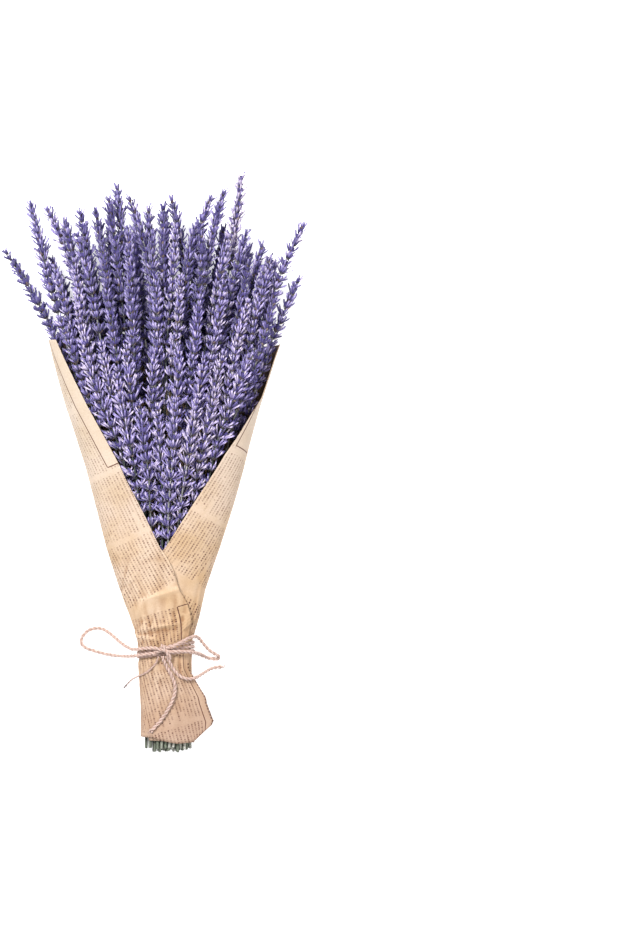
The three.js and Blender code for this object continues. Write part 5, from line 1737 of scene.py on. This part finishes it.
outer_face = sheet_points(relief)
inner_face = sheet_points(relief - SHEET_THICKNESS)
outer_face[..., 2] = np.maximum(outer_face[..., 2], 0.0)
inner_face[..., 2] = np.maximum(inner_face[..., 2], SHEET_THICKNESS * 0.9)

# %% [markdown]
# ### Print without words
# The paper is printed like an old page, and at this distance the words can't be read. So the
# print has no letters at all: rows of short dashes stand for lines of type, with blank gutters
# between the columns, thin frames near the cut edges and a few bars. All of it is computed from
# the distances that were measured on the unrolled sheet, so it needs no picture.
# The mesh carries these numbers: u is the place across the sheet, v is the place along the rows,
# tone and reach are the distances from the left and the right cut edge. A third painted number,
# crease_shade, is high in the valleys of the creases and darkens them there as painted shade.

# %% Kraft paper with rows of dashes
ROW_PITCH = 2.6
ROW_SHARE = (0.22, 0.68)  # the part of a row's height that the type fills
COLUMN_LENGTH = 48.5  # of a row of type, with the gutter after it
GUTTER = 3.6
BAND_HALF = 5.6  # the blank band above the gathers
FRAME_FOOT = 101.0  # the frames at the top begin this far along the rows
RULE_WIDTH = 0.75
LEFT_RULE, RIGHT_RULE, LOW_RULE = 9.3, 2.9, 5.8  # rules' distances from the cut edges
BLANK_BY_RULE = 1.4  # no type stands this near to a rule
BAR_REACH = 1.5  # short bars stand at the cut edge: their length, distance and highest place
BAR_PITCH = 2.6
BAR_TOP = -52
BAR_GAP = 0.45  # between two bars, as a share of their distance
WORD_LENGTH = 3.2
WORD_LIMIT = 0.31  # there is a word where the noise lies above this
MARK_LENGTH = 1.6
MARK_GAP = 0.28  # between two marks, as a share of their length
MARK_WEIGHTS = (0.8, 0.2)  # the weights' range, and the lowest of them
SHORTEST_ROW = 22.0  # a row may end this much sooner than its column
ROW_END_POWER = 9.0  # but few do
PARAGRAPH_ROWS = 7
PARAGRAPH_WEIGHTS = (0.35, 0.8)
RULE_WEIGHT = 1.2
BAR_WEIGHT = 0.9
RUN_SCALE, RUN_START = 1 / 300, 0.4  # turn the place along the rows into a share of the sheet's height
INK = colour(112, 64, 46)


def printed_paper():
    net = Network("printed_kraft", roughness=0.7)
    surface = net.add("UVMap", uv_map="surface")
    across = net.times(net.add("SeparateXYZ", Vector=surface), SHEET_WIDTH / ROW_PITCH)
    along = net.times(net.add("SeparateXYZ", output=1, Vector=surface), 1000)
    from_left = net.times(net.painted("tone"), 1000)
    from_right = net.times(net.painted("reach"), 1000)
    row, in_row = net.math("FLOOR", across), net.math("FRACT", across)
    columns = net.math("DIVIDE", net.math("ADD", along, GUTTER / 2), COLUMN_LENGTH)
    column = net.math("FLOOR", columns)
    in_column = net.times(net.math("FRACT", columns), COLUMN_LENGTH)

    def band(value, low, high):
        return net.times(net.above(value, low), net.below(value, high))

    def without(value):
        return net.math("SUBTRACT", 1.0, value)

    def drawn(vector):
        return net.add("TexWhiteNoise", output=0, Vector=vector)

    def near(value, place, half_width):
        return net.below(net.math("ABSOLUTE", net.math("SUBTRACT", value, place)), half_width)

    # lines of type: words along each row, broken again into finer marks. The multiples of a row's
    # or a column's number only make each of them draw something else
    row_place = net.add("CombineXYZ", X=along, Y=net.times(row, 17.3), Z=column)
    words = net.above(net.noise(1 / WORD_LENGTH, 1, row_place), WORD_LIMIT)
    mark_run = net.math("ADD", net.math("DIVIDE", along, MARK_LENGTH), net.times(row, 0.37))
    mark = net.add("CombineXYZ", X=net.math("FLOOR", mark_run), Y=row, Z=5.0)
    weight = net.math("MULTIPLY_ADD", drawn(mark), *MARK_WEIGHTS)
    marks = net.times(weight, net.above(net.math("FRACT", mark_run), MARK_GAP))
    # each row ends a little sooner or later than the next
    row_draw = drawn(net.add("CombineXYZ", X=row, Y=column))
    row_end = net.math("POWER", row_draw, ROW_END_POWER)
    in_type = net.above(in_column, net.math("MULTIPLY_ADD", row_end, SHORTEST_ROW, GUTTER))
    # a paragraph is a few rows of a column, and each is printed more or less dark
    paragraph_run = net.math("ADD", row, net.times(column, 3.7))
    paragraph = net.math("FLOOR", net.math("DIVIDE", paragraph_run, PARAGRAPH_ROWS))
    place = net.add("CombineXYZ", X=paragraph, Y=column, Z=3.0)
    darkness = net.math("MULTIPLY_ADD", drawn(place), *PARAGRAPH_WEIGHTS)
    # the type is darkest near the gathers and paler towards the rim
    fading = net.ramp(net.math("MULTIPLY_ADD", along, RUN_SCALE, RUN_START), [
        (0.3, (1, 1, 1)), (0.44, (0.92, 0.92, 0.92)), (0.6, (0.74, 0.74, 0.74)), (0.9, (0.6, 0.6, 0.6)),
    ])
    type_ink = net.times(band(in_row, *ROW_SHARE), words, marks, in_type, darkness, fading)

    # the frames, the rules and the blank places
    in_top = net.above(along, FRAME_FOOT)
    near_foot = near(along, FRAME_FOOT, RULE_WIDTH / 2)
    below_band = net.below(along, -BAND_HALF)
    at_band = near(along, -BAND_HALF, RULE_WIDTH / 2)
    is_left = net.below(from_left, from_right)
    is_right = without(is_left)
    rules = [
        net.times(in_top, is_left, band(from_left, LEFT_RULE, LEFT_RULE + RULE_WIDTH)),
        net.times(near_foot, is_left, net.below(from_left, LEFT_RULE)),
        net.times(in_top, is_right, band(from_right, RIGHT_RULE, RIGHT_RULE + RULE_WIDTH)),
        net.times(near_foot, is_right, net.above(from_right, RIGHT_RULE)),
        net.times(below_band, is_left, band(from_left, LOW_RULE, LOW_RULE + RULE_WIDTH)),
        net.times(at_band, is_left, net.below(from_left, LOW_RULE)),
    ]
    blanks = [
        net.times(in_top, is_left, net.below(from_left, LEFT_RULE + BLANK_BY_RULE)),
        net.times(in_top, is_right),
        net.times(below_band, is_left, net.below(from_left, LOW_RULE + BLANK_BY_RULE)),
        near(along, 0.0, BAND_HALF),
    ]
    in_bar = net.above(net.math("FRACT", net.math("DIVIDE", along, BAR_PITCH)), BAR_GAP)
    bars = net.times(in_bar, net.below(along, BAR_TOP), is_left, net.below(from_left, BAR_REACH))
    ink = type_ink
    for blank in blanks:
        ink = net.times(ink, without(blank))
    for rule in rules:
        ink = net.math("MAXIMUM", ink, net.times(rule, RULE_WEIGHT))
    ink = net.math("MAXIMUM", ink, net.times(bars, BAR_WEIGHT))

    # the sheet is pinker and darker towards the gathered end
    height_share = net.math("MULTIPLY_ADD", along, RUN_SCALE, RUN_START)
    pale = net.ramp(height_share, [
        (0.05, colour(230, 196, 170)), (0.38, colour(262, 230, 196)), (0.6, colour(262, 236, 210)),
        (1.0, colour(260, 244, 224)),
    ])
    tan = net.ramp(height_share, [
        (0.05, colour(212, 172, 142)), (0.42, colour(246, 206, 158)), (0.8, colour(250, 226, 196)),
    ])
    mottle = net.ramp(net.noise(28, 4), [(0.42, (0, 0, 0)), (0.66, (1, 1, 1))])
    ground = net.mix(mottle, pale, tan)
    fibres = net.noise(900, 3)
    fibre_shade = net.ramp(fibres, [(0.3, (0.9, 0.88, 0.85)), (0.65, (1, 1, 1))])
    ground = net.shade(ground, fibre_shade)
    # painted shade in the crease valleys, and a touch of painted light on the ridges
    crease_shade_colour = net.ramp(net.painted("crease_shade"), [
        (0.1, (1, 1, 1)), (0.5, (0.96, 0.95, 0.94)), (1.0, (0.6, 0.48, 0.38)),
    ])
    return net.finish(net.shade(net.mix(ink, ground, INK), crease_shade_colour), fibres, 0.25, 0.0003)


def plain_paper():
    net = Network("plain_kraft", roughness=0.8)
    # the inner face is darker than the printed side: partly the unprinted kraft's own colour, partly painted
    # shade inside the wrap
    ground = net.ramp(net.noise(60, 4), [(0.3, colour(190, 156, 122)), (0.7, colour(216, 184, 148))])
    return net.finish(ground, net.noise(900, 3), 0.25, 0.0003)


# %% Make the sheet
def sheet_faces(rows, columns):
    """Triangles of a grid of points, which is numbered row by row."""
    row, column = np.meshgrid(np.arange(rows - 1), np.arange(columns - 1), indexing="ij")
    a = (row * columns + column).ravel()
    return quads(a, a + columns, a + columns + 1, a + 1)


def strip(first, second):
    """Faces between two rows of point numbers that run side by side."""
    return quads(first[:-1], first[1:], second[1:], second[:-1])


rows, columns = outer_face.shape[:2]
numbers = np.arange(rows * columns).reshape(rows, columns)
other = numbers + rows * columns
outer_faces = sheet_faces(rows, columns)
inner_faces = outer_faces[:, ::-1] + rows * columns
edge_faces = np.concatenate([
    strip(numbers[0], other[0]), strip(other[-1], numbers[-1]),
    strip(other[:, 0], numbers[:, 0]), strip(numbers[:, -1], other[:, -1]),
])
sheet = part(
    np.concatenate([outer_face.reshape(-1, 3), inner_face.reshape(-1, 3)]),
    np.concatenate([outer_faces, edge_faces, inner_faces]),
    np.concatenate([np.zeros(len(outer_faces), int), np.ones(len(edge_faces) + len(inner_faces), int)]),
    np.tile(np.stack([print_across, print_run * MM], -1).reshape(-1, 2), (2, 1)),
    np.tile(left_away.ravel(), 2) * MM,
    np.tile(right_away.ravel(), 2) * MM,
)
paper_finishes = [printed_paper(), plain_paper()]
paper = make_piece("paper_wrap_sheet", [sheet], paper_finishes, ["paper_wrap"])
# the painted crease shade goes on both faces of the sheet
painted = paper.data.attributes.new("crease_shade", "FLOAT", "POINT")
painted.data.foreach_set("value", np.tile(crease_shade.ravel(), 2).astype(np.float32))
corners = outer_face.reshape(-1, 3)[outer_faces]

# %% [markdown]
# ## The turns and the knot
# Three turns go round the waist, a little askew and never quite side by side. The knot on top of
# them is a soft one: two strands cross over the turns, and a third one is drawn over both and
# leaves as the tail on the right.

# %% Turns round the waist
def closed_twine(ring, step):
    """The parts of a twine that runs round in a ring."""
    ring = even_line(np.vstack([ring, ring[:1]]), step)[:-1]
    return plies(ring, TWINE_DIAMETER, closed=True) + fibres(ring, TWINE_DIAMETER)


TURN_COUNT = 3
TURN_CLEARANCE = -1.6  # they sink into the sheet that they pull in
TURN_SPACING = 2.3
SKEW_STEP = 0.035  # each turn climbs a little more than the one below
TURN_SWAY = 0.45  # and sways to both sides by this
TURN_STATIONS = 260
LAST_STEP_ANGLES = (262, 300)  # past the outer flap's edge the turns come back to the wrap

turn_parts = []
for k in range(TURN_COUNT):
    angle = np.linspace(0, 360, TURN_STATIONS, endpoint=False)
    section = wrap_section(np.full(len(angle), float(TIE_ALONG)))
    back_again = 1 - smooth_step(angle, *LAST_STEP_ANGLES)
    sway = TURN_SWAY * np.sin(np.radians(angle * (k + 1) + 100 * k))
    place = point_on(section, angle)
    lean = place[:, 0] * (TURN_SKEW + (k - 1) * SKEW_STEP)
    away = flap_step(angle) * back_again + TURN_CLEARANCE + TWINE_DIAMETER / 2
    place = place + outward_on(section, angle) * away[:, None]
    along = TIE_ALONG + lean + (k - (TURN_COUNT - 1) / 2) * TURN_SPACING + sway
    ring = np.stack([place[:, 0], along - ORIGIN_ALONG, place[:, 1]], -1)
    turn_parts += closed_twine(ring, TWINE_STEP)
twine_piece("twine_turns_jute", turn_parts, "twine_turns")

# %% The knot
KNOT_STEP = 0.5
KNOT_STATIONS = 48
KNOT_STRANDS = [
    # middle x, distance from the cut ends and z; half length, half height, turn in plan in degrees
    (0.0, 75.9, 31.4, 5.6, 0.95, -13), (0.2, 76.2, 29.6, 5.6, 0.95, 22), (2.5, 74.8, 31.2, 5.4, 1.9, -58),
]

knot_parts = []
for x, along, height, half_length, half_height, plan_turn in KNOT_STRANDS:
    angle = np.linspace(0, 2 * np.pi, KNOT_STATIONS, endpoint=False)
    run = half_length * np.cos(angle)
    plan = math.radians(plan_turn)
    ring = np.stack([
        x + run * math.cos(plan), along - ORIGIN_ALONG + run * math.sin(plan),
        height + half_height * np.sin(angle),
    ], -1)
    knot_parts += closed_twine(ring, KNOT_STEP)
twine_piece("twine_knot_jute", knot_parts, "twine_knot")

# %% [markdown]
# ## Table and light
# The bunch lies on a light table: a white plate that glows a little, which photographers use to
# keep shadows off a white ground. A lamp from the upper left shapes the folds and the florets, a
# weaker one fills in from the right, and the surround is dim and slightly violet, so the gaps
# between the florets stay dark.

# %% The table, the lamps and the surround
TABLE_HALF = 3.0  # in metres, as are the lamps' places
TABLE_GLOW = 0.55
AIM = (0.0, 0.05, 0.02)
KEY_PLACE, KEY_SIZE, KEY_POWER = (-0.7, 0.85, 1.85), 0.6, 66
FILL_PLACE, FILL_SIZE, FILL_POWER = (0.9, -0.4, 1.9), 1.6, 32
SURROUND_COLOUR = (0.88, 0.84, 1.0, 1)
SURROUND_STRENGTH = 0.22

table_mesh = bpy.data.meshes.new("table")
corners = [(-1, -1), (1, -1), (1, 1), (-1, 1)]
table_mesh.from_pydata([(x * TABLE_HALF, y * TABLE_HALF, 0) for x, y in corners], [], [(0, 1, 2, 3)])
table = bpy.data.objects.new("table", table_mesh)
bpy.context.scene.collection.objects.link(table)
table_net = Network(
    "table_white", roughness=1.0, Base_Color=(0.9, 0.9, 0.9, 1), Emission_Color=(1, 1, 1, 1),
    Emission_Strength=TABLE_GLOW,
)
table_mesh.materials.append(table_net.material)
table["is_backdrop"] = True


def lamp(name, place, size, power):
    data = bpy.data.lights.new(name, "AREA")
    data.size = size
    data.energy = power
    body = bpy.data.objects.new(name, data)
    body.location = place
    heading = Vector(AIM) - Vector(place)
    body.rotation_euler = heading.to_track_quat("-Z", "Y").to_euler()
    body.visible_camera = False
    bpy.context.scene.collection.objects.link(body)


lamp("key", KEY_PLACE, KEY_SIZE, KEY_POWER)
lamp("fill", FILL_PLACE, FILL_SIZE, FILL_POWER)
world = bpy.data.worlds.new("surround")
bpy.context.scene.world = world
world.use_nodes = True
surround = world.node_tree.nodes["Background"]
surround.inputs["Color"].default_value = SURROUND_COLOUR
surround.inputs["Strength"].default_value = SURROUND_STRENGTH
bpy.context.scene.view_settings.view_transform = "Standard"

# %% Write the sizes and finish
VISUAL_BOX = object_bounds()
for label, box in (("cad", CAD_BOX), ("visual", VISUAL_BOX)):
    print(label, "box", [[round(value * 1000, 1) for value in corner] for corner in box])
